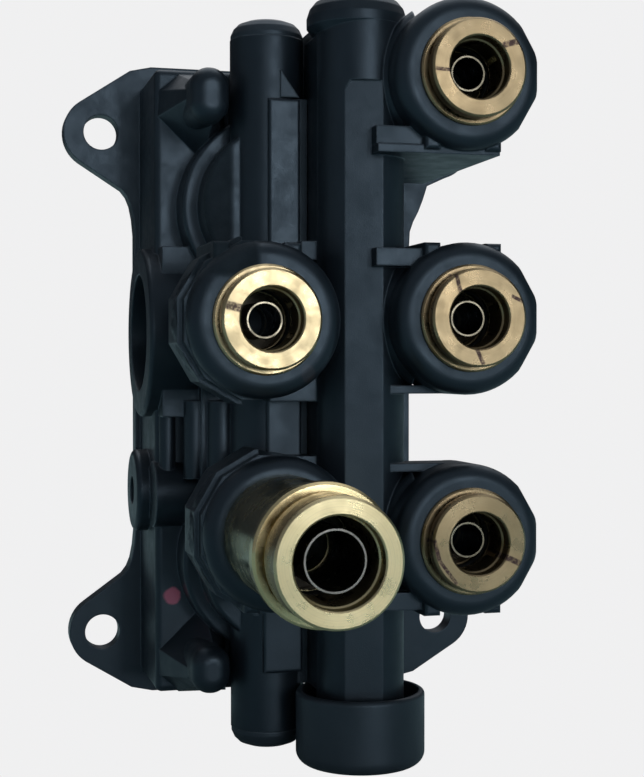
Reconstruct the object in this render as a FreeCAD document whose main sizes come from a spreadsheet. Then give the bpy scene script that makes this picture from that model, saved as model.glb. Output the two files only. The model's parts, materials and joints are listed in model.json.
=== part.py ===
import FreeCAD, Part
import Sketcher
import os
from FreeCAD import Placement, Rotation, Vector

# Dash control valve seen from its port side. Millimetres.
# +X is to the right in the photograph, +Z is up and +Y points through the dash panel to the driver.
# The origin is the middle of the four ear holes, on the face of the ears that rests on the panel.

VALUES = {
    # flange with its four ears
    "flange_thick": 4.0,
    "flange_left": 27.5,
    "flange_right": 28.3,
    "flange_top": 61.5,
    "flange_bottom": 60.5,
    "ear_hole_x": 34.1,
    "ear_tip_x": 34.5,
    "ear_tip_x_low_left": 33.6,
    "ear_hole_z": 48.4,
    "ear_hole_radius": 3.35,
    "ear_tip_radius": 6.8,
    # main block behind the flange
    "block_left": 26.6,
    "block_right": 21.0,
    "block_depth": 24.0,
    "block_top": 57.2,
    "block_bottom": 56.4,
    "block_round": 1.2,
    "front_pad_half_x": 21.8,
    "front_pad_half_z": 56.0,
    "front_pad_rise": 6.0,
    # plunger housings, plungers and knobs
    "plunger_pitch_half": 31.75,
    "turret_x": 5.7,
    "turret_radius": 17.0,
    "turret_depth": 31.0,
    "turret_step_radius": 14.3,
    "turret_step_depth": 38.0,
    "corner_depth": 35.0,
    "corner_taper": 17.0,
    "ridge_x": 19.2,
    "ridge_half": 3.4,
    "ridge_low": 45.4,
    "ridge_high": 54.9,
    "ridge_high_lower": 53.7,
    "ridge_depth": 41.0,
    "guide_bore_radius": 11.5,
    "guide_bore_depth": 14.0,
    "valve_bore_radius": 8.0,
    "valve_bore_depth": 30.0,
    "plunger_stroke": 9.5,
    "piston_length": 5.0,
    "piston_groove": 2.2,
    "tail_radius": 5.0,
    "tail_length": 16.0,
    "stem_radius": 4.0,
    "knob_start": 20.4,
    "knob_length": 16.0,
    "knob_pin_radius": 1.25,
    "cover_thick": 3.0,
    # barrels
    "left_barrel_x": 8.2,
    "left_barrel_y": 34.6,
    "left_barrel_radius": 6.5,
    "left_barrel_half": 60.7,
    "left_bore_radius": 4.2,
    "right_barrel_x": 5.7,
    "right_barrel_y": 46.2,
    "right_barrel_radius": 7.57,
    "right_head_radius": 8.65,
    "right_head_start": 61.0,
    "right_barrel_top": 66.2,
    "right_barrel_bottom": 60.0,
    "right_flat_top": 51.2,
    "right_flat_depth": 0.72,
    "right_bore_radius": 5.2,
    "cap_radius": 11.17,
    "cap_top": 52.7,
    "cap_bottom": 65.3,
    # ports
    "boss_face": 60.0,
    "boss_radius": 12.8,
    "boss_foot_radius": 13.8,
    "boss_round": 2.6,
    "boss_flat": 12.2,
    "boss_back": 48.0,
    "boss_neck_radius": 9.4,
    "boss_neck_back": 39.4,
    "left_boss_back": 46.0,
    "left_neck_radius": 10.8,
    "left_neck_back": 30.0,
    "collar_flat": 12.9,
    "band_flat": 13.7,
    "port_bore_radius": 7.7,
    "port_bore_depth": 14.0,
    "port_way_radius": 3.2,
    "right_port_x": 21.0,
    "right_top_z": 52.1,
    "right_mid_z": 11.2,
    "right_low_z": 25.95,
    "left_mid_x": 13.8,
    "left_mid_z": 10.7,
    "left_low_x": 11.1,
    "left_low_z": 24.1,
    "lug_width": 2.8,
    "lug_reach": 12.7,
    "lug_length": 16.0,
    # push-in fitting for 9.5 mm tube
    "small_face": 18.1,
    "small_flange_radius": 8.95,
    "small_flange_thick": 0.8,
    "small_ring_radius": 8.15,
    "small_ring_thick": 2.1,
    "small_bore_radius": 5.15,
    "small_socket_radius": 4.85,
    "small_chamber_radius": 6.7,
    "small_support_radius": 3.0,
    "small_support_recess": 5.85,
    "small_way_radius": 2.7,
    # push-in fitting for 12.7 mm tube
    "large_face": 48.2,
    "large_barrel_radius": 9.9,
    "large_flange_radius": 10.75,
    "large_flange_thick": 2.4,
    "large_ring_radius": 9.45,
    "large_ring_thick": 6.2,
    "large_bore_radius": 6.7,
    "large_socket_radius": 6.42,
    "large_chamber_radius": 8.1,
    "large_support_radius": 4.62,
    "large_support_recess": 2.6,
    "large_way_radius": 4.2,
    "large_floor": 24.0,
    "collet_stroke": 1.2,
    "collet_slot": 0.9,
    # side ports
    "side_port_z": 9.4,
    "side_port_y": 17.1,
    "side_port_left": 28.7,
    "side_port_radius": 10.75,
    "side_port_depth": 14.0,
    "side_boss_radius": 15.6,
    "side_boss_length": 18.0,
    "pilot_port_y": 12.5,
    "pilot_port_z": 20.2,
    "pilot_port_left": 29.4,
    "pilot_boss_radius": 7.7,
    "pilot_hole_radius": 2.7,
    "pilot_hole_depth": 12.0,
    # fits and small pieces
    "running_gap": 0.04,
    "press_gap": 0.01,
    "seal_section": 1.0,
    "screw_radius": 2.0,
    "shuttle_travel": 5.0,
    "piston_travel": 5.0,
}


class Size:
    """A number that also keeps the spreadsheet expression it comes from."""

    def __init__(self, number, text):
        self.number = float(number)
        self.text = text

    def __add__(self, other):
        other = as_size(other)
        return Size(self.number + other.number, "(%s + %s)" % (self.text, other.text))

    def __radd__(self, other):
        return as_size(other) + self

    def __sub__(self, other):
        other = as_size(other)
        return Size(self.number - other.number, "(%s - %s)" % (self.text, other.text))

    def __rsub__(self, other):
        return as_size(other) - self

    def __mul__(self, other):
        other = as_size(other)
        return Size(self.number * other.number, "(%s * %s)" % (self.text, other.text))

    def __rmul__(self, other):
        return as_size(other) * self

    def __truediv__(self, other):
        other = as_size(other)
        return Size(self.number / other.number, "(%s / %s)" % (self.text, other.text))

    def __neg__(self):
        return Size(-self.number, "(-1 * %s)" % self.text)


def as_size(value):
    if isinstance(value, Size):
        return value
    return Size(value, repr(float(value)))


class Named:
    """Reads each size by its name, as a Size."""

    def __getattr__(self, name):
        return Size(VALUES[name], "Sizes.%s" % name)


doc = FreeCAD.newDocument("dash_control_valve")
sheet = doc.addObject("Spreadsheet::Sheet", "Sizes")
for row, (alias, number) in enumerate(VALUES.items(), start=1):
    sheet.set("A%d" % row, alias)
    sheet.set("B%d" % row, str(number))
    sheet.setAlias("B%d" % row, alias)
doc.recompute()

s = Named()
UP = Rotation()
DOWN = Rotation(Vector(1, 0, 0), 180)
TO_REAR = Rotation(Vector(1, 0, 0), 90)
TO_FRONT = Rotation(Vector(1, 0, 0), -90)
TO_LEFT = Rotation(Vector(0, 1, 0), -90)
TO_RIGHT = Rotation(Vector(0, 1, 0), 90)
nodes = {}


def bind(obj, prop, value):
    size = as_size(value)
    obj.setExpression(prop, size.text)


def place(obj, at, turn=UP):
    numbers = [as_size(value).number for value in at]
    obj.Placement = Placement(Vector(*numbers), turn)
    for axis, value in zip("xyz", at):
        if isinstance(value, Size):
            bind(obj, "Placement.Base.%s" % axis, value)
    return obj


def keep(label, obj):
    """Marks an object as a finished piece that is written to a file."""
    obj.Label = label
    nodes[label] = obj
    return obj


def corner_points(profile):
    """Turns each rounded corner of a profile into the two points where its arc starts and ends."""
    steps = []
    count = len(profile)
    for i, item in enumerate(profile):
        x, y = as_size(item[0]), as_size(item[1])
        if len(item) == 2:
            steps.append(("point", x, y))
            continue
        radius = as_size(item[2])
        before, after = profile[i - 1], profile[(i + 1) % count]
        ends = []
        for neighbour in (before, after):
            dx = as_size(neighbour[0]).number - x.number
            dy = as_size(neighbour[1]).number - y.number
            along_x = abs(dx) > abs(dy)
            sign = 1 if (dx if along_x else dy) > 0 else -1
            ends.append((x + radius * sign, y) if along_x else (x, y + radius * sign))
        centre_x = ends[0][0] if ends[0][0].number != x.number else ends[1][0]
        centre_y = ends[0][1] if ends[0][1].number != y.number else ends[1][1]
        centre = (centre_x.number, centre_y.number)
        steps.append(("arc", ends[0], ends[1], radius, centre, (x.number, y.number)))
    return steps


def draw(body, name, plane, profile):
    """Draws a closed profile on a plane of the body and ties each point to the spreadsheet."""
    sketch = body.newObject("Sketcher::SketchObject", name)
    planes = [f for f in body.Origin.OriginFeatures if f.Role == plane]
    sketch.AttachmentSupport = [(planes[0], "")]
    sketch.MapMode = "FlatFace"
    steps = corner_points(profile)
    pins = []
    edges = []
    count = len(steps)
    for i, step in enumerate(steps):
        if step[0] == "arc":
            (ax, ay), (bx, by), radius, centre, corner = step[1:]
            reach = ((corner[0] - centre[0]) ** 2 + (corner[1] - centre[1]) ** 2) ** 0.5
            scale = radius.number / reach
            middle = Vector(centre[0] + (corner[0] - centre[0]) * scale,
                            centre[1] + (corner[1] - centre[1]) * scale, 0)
            start, end = Vector(ax.number, ay.number, 0), Vector(bx.number, by.number, 0)
            turn = (middle - start).cross(end - middle).z
            index = sketch.addGeometry(Part.Arc(start, middle, end), False)
            first, last = (1, 2) if turn > 0 else (2, 1)
            edges.append((index, first, last))
            pins.append((index, first, ax, ay))
            pins.append((index, last, bx, by))
            out = (bx, by)
        else:
            out = step[1:3]
        following = steps[(i + 1) % count]
        into = following[1] if following[0] == "arc" else following[1:3]
        start = Vector(out[0].number, out[1].number, 0)
        end = Vector(into[0].number, into[1].number, 0)
        if (end - start).Length > 1e-6:
            index = sketch.addGeometry(Part.LineSegment(start, end), False)
            edges.append((index, 1, 2))
            if step[0] == "point":
                pins.append((index, 1, out[0], out[1]))
    joined = list(zip(edges, edges[1:] + edges[:1]))
    for (one, _, end_one), (two, start_two, _) in joined:
        sketch.addConstraint(Sketcher.Constraint("Coincident", one, end_one, two, start_two))
    for index, end, x, y in pins:
        for kind, value, axis in (("DistanceX", x, -2), ("DistanceY", y, -1)):
            if abs(value.number) < 1e-9:
                sketch.addConstraint(Sketcher.Constraint("PointOnObject", index, end, axis))
                continue
            made = sketch.addConstraint(Sketcher.Constraint(kind, index, end, value.number))
            sketch.setExpression("Constraints[%d]" % made, value.text)
    return sketch


def turned(name, profile, at, turn=UP):
    """A turned piece: the profile holds (radius, height) points and goes once round the body's Z axis."""
    body = doc.addObject("PartDesign::Body", name)
    sketch = draw(body, name + "_profile", "XZ_Plane", profile)
    feature = body.newObject("PartDesign::Revolution", name + "_turn")
    feature.Profile = sketch
    feature.ReferenceAxis = (sketch, ["V_Axis"])
    feature.Angle = 360
    sketch.Visibility = False
    return place(body, at, turn)


def plate(name, profile, thick, at, turn=UP):
    """A flat piece: the profile holds (x, y) points of the body's XY plane."""
    body = doc.addObject("PartDesign::Body", name)
    sketch = draw(body, name + "_profile", "XY_Plane", profile)
    pad = body.newObject("PartDesign::Pad", name + "_pad")
    pad.Profile = sketch
    bind(pad, "Length", thick)
    sketch.Visibility = False
    return place(body, at, turn)


def box(name, size_x, size_y, size_z, at, turn=UP):
    obj = doc.addObject("Part::Box", name)
    bind(obj, "Length", size_x)
    bind(obj, "Width", size_y)
    bind(obj, "Height", size_z)
    return place(obj, at, turn)


def rod(name, radius, height, at, turn=UP):
    obj = doc.addObject("Part::Cylinder", name)
    bind(obj, "Radius", radius)
    bind(obj, "Height", height)
    return place(obj, at, turn)


def fuse(name, shapes):
    obj = doc.addObject("Part::MultiFuse", name)
    obj.Shapes = shapes
    return obj


def cut(name, base, tools):
    obj = doc.addObject("Part::Cut", name)
    obj.Base = base
    obj.Tool = tools[0] if len(tools) == 1 else fuse(name + "_tools", tools)
    return obj


def common(name, shapes):
    obj = doc.addObject("Part::MultiCommon", name)
    obj.Shapes = shapes
    return obj


def group(name, shapes):
    obj = doc.addObject("Part::Compound", name)
    obj.Links = shapes
    return obj


def rounded(name, base, radius, choose):
    """Rounds the edges of a finished shape that the test function picks."""
    doc.recompute()
    obj = doc.addObject("Part::Fillet", name)
    obj.Base = base
    picked = [i for i, edge in enumerate(base.Shape.Edges, start=1) if choose(edge)]
    obj.Edges = [(i, as_size(radius).number, as_size(radius).number) for i in picked]
    return obj


def coil(name, mean_radius, wire_radius, height, turns, at, turn=UP):
    """A coil spring standing on its foot plane, with the wire ends left open."""
    body = doc.addObject("PartDesign::Body", name)
    sketch = body.newObject("Sketcher::SketchObject", name + "_wire")
    planes = [f for f in body.Origin.OriginFeatures if f.Role == "XZ_Plane"]
    sketch.AttachmentSupport = [(planes[0], "")]
    sketch.MapMode = "FlatFace"
    mean, wire = as_size(mean_radius), as_size(wire_radius)
    centre = Vector(mean.number, wire.number, 0)
    ring = sketch.addGeometry(Part.Circle(centre, Vector(0, 0, 1), wire.number), False)
    for kind, value in (("DistanceX", mean), ("DistanceY", wire)):
        made = sketch.addConstraint(Sketcher.Constraint(kind, ring, 3, value.number))
        sketch.setExpression("Constraints[%d]" % made, value.text)
    made = sketch.addConstraint(Sketcher.Constraint("Radius", ring, wire.number))
    sketch.setExpression("Constraints[%d]" % made, wire.text)
    helix = body.newObject("PartDesign::AdditiveHelix", name + "_coil")
    helix.Profile = sketch
    helix.ReferenceAxis = (sketch, ["V_Axis"])
    helix.Mode = 2
    helix.Height = as_size(height).number - 2 * wire.number
    helix.Turns = turns
    bind(helix, "Height", as_size(height) - wire * 2)
    sketch.Visibility = False
    return place(body, at, turn)


def ring_seal(name, mean_radius, section_radius, at, turn=UP):
    obj = doc.addObject("Part::Torus", name)
    bind(obj, "Radius1", mean_radius)
    bind(obj, "Radius2", section_radius)
    return place(obj, at, turn)


# valve body: the outside of the moulding

TOP, BOTTOM = 1, -1
LEFT, RIGHT = -1, 1
NEAR = 0.01
SINK = 1.0
OVERCUT = 1.0
EAR_NORMAL_LOW = (0.558, 0.830)
EAR_NORMAL_HIGH = (0.549, 0.836)
EAR_CORNER_OUT = (1.0, 1.0)
EAR_CORNER_IN = (3.1, 0.1)
LEFT_BLEND = ((0.1, 19.6), (0.4, 16.4), (0.9, 13.9), (1.6, 12.2), (2.6, 10.9))
RIGHT_BLEND = ((0.1, 21.4), (0.3, 17.8), (1.0, 15.8), (2.1, 13.7), (3.1, 11.2), (4.0, 8.4))


def ear_tip(x_sign, z_sign):
    """The middle of one ear's round end. The lower left ear is a little narrower, as in the photograph."""
    return s.ear_tip_x_low_left if (x_sign, z_sign) == (LEFT, BOTTOM) else s.ear_tip_x


def ear_corner(x_sign, z_sign):
    """The outline of one ear, from the flange's side to its end."""
    side = s.flange_left if x_sign == LEFT else s.flange_right
    end = s.flange_top if z_sign == TOP else s.flange_bottom
    tip_x = ear_tip(x_sign, z_sign)
    tip = s.ear_tip_radius
    blend = LEFT_BLEND if x_sign == LEFT else RIGHT_BLEND
    points = [(side + out, s.ear_hole_z - down) for out, down in blend]
    points.append((tip_x + tip * EAR_NORMAL_LOW[0], s.ear_hole_z - tip * EAR_NORMAL_LOW[1]))
    points.append((tip_x + tip * EAR_NORMAL_HIGH[0], s.ear_hole_z + tip * EAR_NORMAL_HIGH[1]))
    points.append((side + EAR_CORNER_OUT[0], end - EAR_CORNER_OUT[1]))
    points.append((side - EAR_CORNER_IN[0], end - EAR_CORNER_IN[1]))
    return [(x * x_sign, z * z_sign) for x, z in points]


right_low = ear_corner(RIGHT, BOTTOM)
left_top = ear_corner(LEFT, TOP)
flange_outline = ear_corner(RIGHT, TOP) + left_top[::-1] + ear_corner(LEFT, BOTTOM) + right_low[::-1]
flange_parts = [plate("flange_web", flange_outline, s.flange_thick, (0, 0, 0), TO_REAR)]
for x_sign in (LEFT, RIGHT):
    for z_sign in (TOP, BOTTOM):
        flange_parts.append(rod("ear_tip_%d_%d" % (x_sign + 1, z_sign + 1), s.ear_tip_radius, s.flange_thick,
                                (ear_tip(x_sign, z_sign) * x_sign, 0, s.ear_hole_z * z_sign), TO_REAR))
flange = fuse("flange", flange_parts)


def runs_along_y(edge):
    return abs(edge.tangentAt(edge.FirstParameter).y) > 0.9


block_raw = box("block_raw", s.block_left + s.block_right, s.block_depth - SINK, s.block_top + s.block_bottom,
                (-s.block_left, -s.block_depth, -s.block_bottom))
block = rounded("block", block_raw, s.block_round,
                lambda edge: edge.CenterOfMass.y < NEAR - VALUES["block_depth"] or runs_along_y(edge))

outside = [flange, block]
PAD_CORNER = 6.0
front_raw = box("front_raw", s.front_pad_half_x * 2, s.front_pad_rise + SINK, s.front_pad_half_z * 2,
                (-s.front_pad_half_x, -SINK, -s.front_pad_half_z))
outside.append(rounded("front_pad", front_raw, PAD_CORNER, runs_along_y))

TURRET_ROUND = 0.8
CORNER_OUTLINE = ((26.3, 48.4), (26.1, 53.4), (22.3, 56.6), (13.5, 56.8), (13.5, 45.0), (18.0, 40.4))
RIDGE_ROUND = 2.6
RIDGE_END_FLAT = 0.1
for side, sign in (("upper", TOP), ("lower", BOTTOM)):
    step_at = s.turret_depth - s.block_depth + SINK
    end_at = s.turret_step_depth - s.block_depth + SINK
    turret = [
        (0, 0),
        (s.turret_radius, 0),
        (s.turret_radius, step_at, TURRET_ROUND),
        (s.turret_step_radius, step_at),
        (s.turret_step_radius, end_at, TURRET_ROUND),
        (0, end_at),
    ]
    outside.append(turned(side + "_turret", turret,
                          (-s.turret_x, SINK - s.block_depth, s.plunger_pitch_half * sign), TO_REAR))
    for x_sign, name in ((LEFT, "left"), (RIGHT, "right")):
        turn_back = -s.turret_x * 2 if x_sign == RIGHT else as_size(0)
        outline = [(turn_back + x * x_sign, z * sign) for x, z in CORNER_OUTLINE]
        wedge = plate("%s_%s_corner" % (side, name), outline, s.corner_depth - s.block_depth + SINK,
                      (0, SINK - s.block_depth, 0), TO_REAR)
        bind(wedge.Tip, "TaperAngle", -s.corner_taper)
        outside.append(wedge)
        if (x_sign, sign) == (RIGHT, BOTTOM):
            continue  # the end cap takes the room of this ridge
        middle = turn_back + s.ridge_x * x_sign
        high = s.ridge_high if sign == TOP else s.ridge_high_lower
        low = s.ridge_low if sign == TOP else -high
        end_round = s.ridge_half - RIDGE_END_FLAT
        ridge = plate("%s_%s_ridge_raw" % (side, name), [
            (middle - s.ridge_half, low, end_round),
            (middle + s.ridge_half, low, end_round),
            (middle + s.ridge_half, low + high - s.ridge_low, end_round),
            (middle - s.ridge_half, low + high - s.ridge_low, end_round),
        ], s.ridge_depth - s.block_depth + SINK, (0, SINK - s.block_depth, 0), TO_REAR)
        outside.append(rounded("%s_%s_ridge" % (side, name), ridge, RIDGE_ROUND,
                               lambda edge: edge.BoundBox.YMax < NEAR - VALUES["ridge_depth"]))

SIDE_BOSS_ROUND = 0.8
PILOT_BOSS_ROUND = 1.0
side_boss = [
    (0, 0),
    (s.side_boss_radius, 0),
    (s.side_boss_radius, s.side_boss_length, SIDE_BOSS_ROUND),
    (0, s.side_boss_length),
]
outside.append(turned("side_boss", side_boss,
                      (s.side_boss_length - s.side_port_left, -s.side_port_y, s.side_port_z), TO_LEFT))
ROOT_INSET = 0.3
ROOT_LEFT = 26.0
ROOT_WIDTH = 20.0
ROOT_DEPTH = 20.0
ROOT_FRONT_INSET = 4.0
outside.append(box("side_boss_root", ROOT_WIDTH, ROOT_DEPTH, s.side_boss_radius * 2 - ROOT_INSET * 2,
                   (-ROOT_LEFT, ROOT_FRONT_INSET - s.side_port_y - s.side_boss_radius,
                    s.side_port_z - s.side_boss_radius + ROOT_INSET)))
pilot_boss = [
    (0, 0),
    (s.pilot_boss_radius, 0),
    (s.pilot_boss_radius, s.side_boss_length, PILOT_BOSS_ROUND),
    (0, s.side_boss_length),
]
outside.append(turned("pilot_boss", pilot_boss,
                      (s.side_boss_length - s.pilot_port_left, -s.pilot_port_y, -s.pilot_port_z), TO_LEFT))
PILOT_RIDGE_RADIUS = 6.0
PILOT_RIDGE_LENGTH = 16.0
PILOT_RIDGE_AT = (-11.0, -22.5)
outside.append(rod("pilot_ridge", PILOT_RIDGE_RADIUS, PILOT_RIDGE_LENGTH,
                   (*PILOT_RIDGE_AT, -s.pilot_port_z), TO_LEFT))
WAIST_WIDTH = 20.0
WAIST_LEFT = 19.4
WAIST_HALF = 18.0
WAIST_RIBS = ((-24.6, -25.0, 1.5), (-20.2, -28.6, 2.0), (-16.0, -32.0, 2.4))
WAIST_RIB_LENGTH = 14.0
WAIST_RIB_FOOT = -17.0
outside.append(box("turret_waist", WAIST_WIDTH, s.turret_depth - s.block_depth + SINK, WAIST_HALF * 2,
                   (-WAIST_LEFT, -s.turret_depth, -WAIST_HALF)))
for i, (x, y, radius) in enumerate(WAIST_RIBS):
    outside.append(rod("waist_rib_%d" % i, radius, WAIST_RIB_LENGTH, (x, y, WAIST_RIB_FOOT)))

# barrels and the webs that join them to the block
left_barrel = [
    (0, 0),
    (s.left_barrel_radius, 0),
    (s.left_barrel_radius, s.left_barrel_half * 2),
    (0, s.left_barrel_half * 2),
]
outside.append(turned("left_barrel", left_barrel, (-s.left_barrel_x, -s.left_barrel_y, -s.left_barrel_half)))
head_height = s.right_barrel_top - s.right_head_start
right_round = rod("right_barrel_round", s.right_barrel_radius,
                  s.right_barrel_bottom + s.right_head_start + SINK,
                  (s.right_barrel_x, -s.right_barrel_y, -s.right_barrel_bottom))
HEAD_FOOT = ((1.0, -0.9), (0.3, 0.0), (0.0, 0.4))
HEAD_CROWN = ((0.0, 3.2), (0.5, 1.7), (1.4, 0.6), (2.8, 0.0))
head = [(0, HEAD_FOOT[0][1])]
head += [(s.right_head_radius - inset, height) for inset, height in HEAD_FOOT]
head += [(s.right_head_radius - inset, head_height - below) for inset, below in HEAD_CROWN]
head.append((0, head_height))
HEAD_STEP = 0.12
HEAD_SHIFT = 0.35
head_back = s.right_head_radius - s.right_barrel_radius - HEAD_STEP
right_head = turned("right_barrel_head", head,
                    (s.right_barrel_x - HEAD_SHIFT, head_back - s.right_barrel_y, s.right_head_start))
FLAT_TURN = Rotation(Vector(0, 0, 1), -10.7)
FLAT_HALF = 10.0
FLAT_BLOCK = 3.0
FLAT_CORNER_X = 2.2
FLAT_CORNER_WIDTH = 1.4
FLAT_CORNER_HEIGHT = 2.4
flat_place = FLAT_TURN.multVec(Vector(0, VALUES["right_flat_depth"] - VALUES["right_barrel_radius"], 0))
front_flat = plate("right_barrel_flat", [
    (-FLAT_HALF, -s.right_barrel_bottom - OVERCUT),
    (FLAT_HALF, -s.right_barrel_bottom - OVERCUT),
    (FLAT_HALF, s.right_flat_top),
    (-FLAT_CORNER_X, s.right_flat_top),
    (-FLAT_CORNER_X - FLAT_CORNER_WIDTH, s.right_flat_top - FLAT_CORNER_HEIGHT),
    (-FLAT_HALF, s.right_flat_top - FLAT_CORNER_HEIGHT),
], FLAT_BLOCK, (s.right_barrel_x + flat_place.x, flat_place.y - s.right_barrel_y, 0),
    FLAT_TURN.multiply(TO_REAR))
outside.append(cut("right_barrel", fuse("right_barrel_solid", [right_round, right_head]), [front_flat]))
WEB_CAP_GAP = 0.1
WEB_BACK = 22.0
LEFT_WEB_LEFT = 13.0
LEFT_WEB_BELOW_END = 4.1
RIGHT_WEB_LEFT = -1.4
RIGHT_WEB_RIGHT = 11.8
RIGHT_WEB_BACK = 20.0
RIGHT_WEB_FRONT_INSET = 2.2
RIGHT_WEB_BELOW_TOP = 4.2
WALL_LEFT = -7.0
WALL_WIDTH = 5.0
WALL_DEPTH = 8.0
WALL_FRONT = 4.8
WALL_BELOW_END = 10.7
RIB_LEFT = -1.9
RIB_WIDTH = 0.7
RIB_DEPTH = 9.0
RIB_FRONT = 0.2
RIB_BELOW_TOP = 6.2
web_low = s.cap_top - WEB_CAP_GAP
left_web_top = s.left_barrel_half - LEFT_WEB_BELOW_END
right_web_top = s.right_barrel_top - RIGHT_WEB_BELOW_TOP
right_web_front = s.right_barrel_y - RIGHT_WEB_FRONT_INSET
outside.append(box("left_web", LEFT_WEB_LEFT, s.left_barrel_y - WEB_BACK, web_low + left_web_top,
                   (-LEFT_WEB_LEFT, -s.left_barrel_y, -web_low)))
outside.append(box("right_web", RIGHT_WEB_RIGHT - RIGHT_WEB_LEFT, right_web_front - RIGHT_WEB_BACK,
                   web_low + right_web_top, (RIGHT_WEB_LEFT, -right_web_front, -web_low)))
outside.append(box("parting_wall", WALL_WIDTH, WALL_DEPTH, web_low + s.left_barrel_half - WALL_BELOW_END,
                   (WALL_LEFT, -s.left_barrel_y - WALL_FRONT, -web_low)))
outside.append(box("parting_rib", RIB_WIDTH, RIB_DEPTH, web_low + s.right_barrel_top - RIB_BELOW_TOP,
                   (RIB_LEFT, -s.right_barrel_y - RIB_FRONT, -web_low)))
PAD_RISE = 0.7
PAD_SINK = 5.0
PAD_ROUND = 0.5
PAD_ABOVE_CAP = 2.5
LEFT_PADS = (
    ("upper", 9.4, 5.6, 22.0, 49.6),
    ("middle", 9.8, 6.2, -14.2, -2.0),
    ("lower", 10.4, 7.0, PAD_ABOVE_CAP - s.cap_top, -35.0),
)


def on_pad_front(edge):
    return edge.CenterOfMass.y < -VALUES["left_barrel_y"] - VALUES["left_barrel_radius"]


for name, left, width, low, high in LEFT_PADS:
    pad = box("%s_pad_raw" % name, width, PAD_SINK, high - low,
              (-left, -s.left_barrel_y - s.left_barrel_radius - PAD_RISE, low))
    outside.append(rounded(name + "_pad", pad, PAD_ROUND, on_pad_front))
WITNESS_RISE = 0.35
WITNESS_DEPTH = 4.0
WITNESS_OUTLINE = ((-7.2, 49.9), (-3.9, 49.9), (-7.2, 54.6))
outside.append(plate("witness_mark", WITNESS_OUTLINE, WITNESS_DEPTH,
                     (0, WITNESS_DEPTH - s.left_barrel_y - s.left_barrel_radius - WITNESS_RISE, 0), TO_REAR))

# port bosses: each entry gives the side that the lugs are on and how far out the inner lug stands
RIGHT_PORTS = (
    ("top_right", s.right_port_x, s.right_top_z, BOTTOM, 7.3),
    ("mid_right", s.right_port_x, s.right_mid_z, TOP, 7.3),
    ("low_right", s.right_port_x, -s.right_low_z, BOTTOM, 7.3),
)
LEFT_PORTS = (
    ("mid_left", -s.left_mid_x, s.left_mid_z, TOP, 8.3),
    ("supply", -s.left_low_x, -s.left_low_z, BOTTOM, 6.0),
)
LUG_OUTER = 3.5
LUG_HEIGHT = 5.0
LUG_FRONT = 2.2
LUG_ROUND = 0.7


def boss_round_shape(name, x, z, back):
    length = s.boss_face - back
    profile = [
        (0, 0),
        (s.boss_radius, 0),
        (s.boss_radius, length, s.boss_round),
        (0, length),
    ]
    return turned(name + "_boss_round", profile, (x, -back, z), TO_REAR)


def boss_lugs(name, x, z, way, inner):
    """Two small lugs that run along the boss, on its upper or lower side."""
    lugs = []
    low = z + (s.lug_reach - LUG_HEIGHT) if way == TOP else z - s.lug_reach
    limit = LUG_FRONT + NEAR - VALUES["boss_face"]
    for side, offset in (("inner", -inner), ("outer", LUG_OUTER)):
        raw = box("%s_lug_%s_raw" % (name, side), s.lug_width, s.lug_length, LUG_HEIGHT,
                  (x + offset, LUG_FRONT - s.boss_face, low))
        lugs.append(rounded("%s_lug_%s" % (name, side), raw, LUG_ROUND,
                            lambda edge: edge.CenterOfMass.y < limit))
    return lugs


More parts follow.
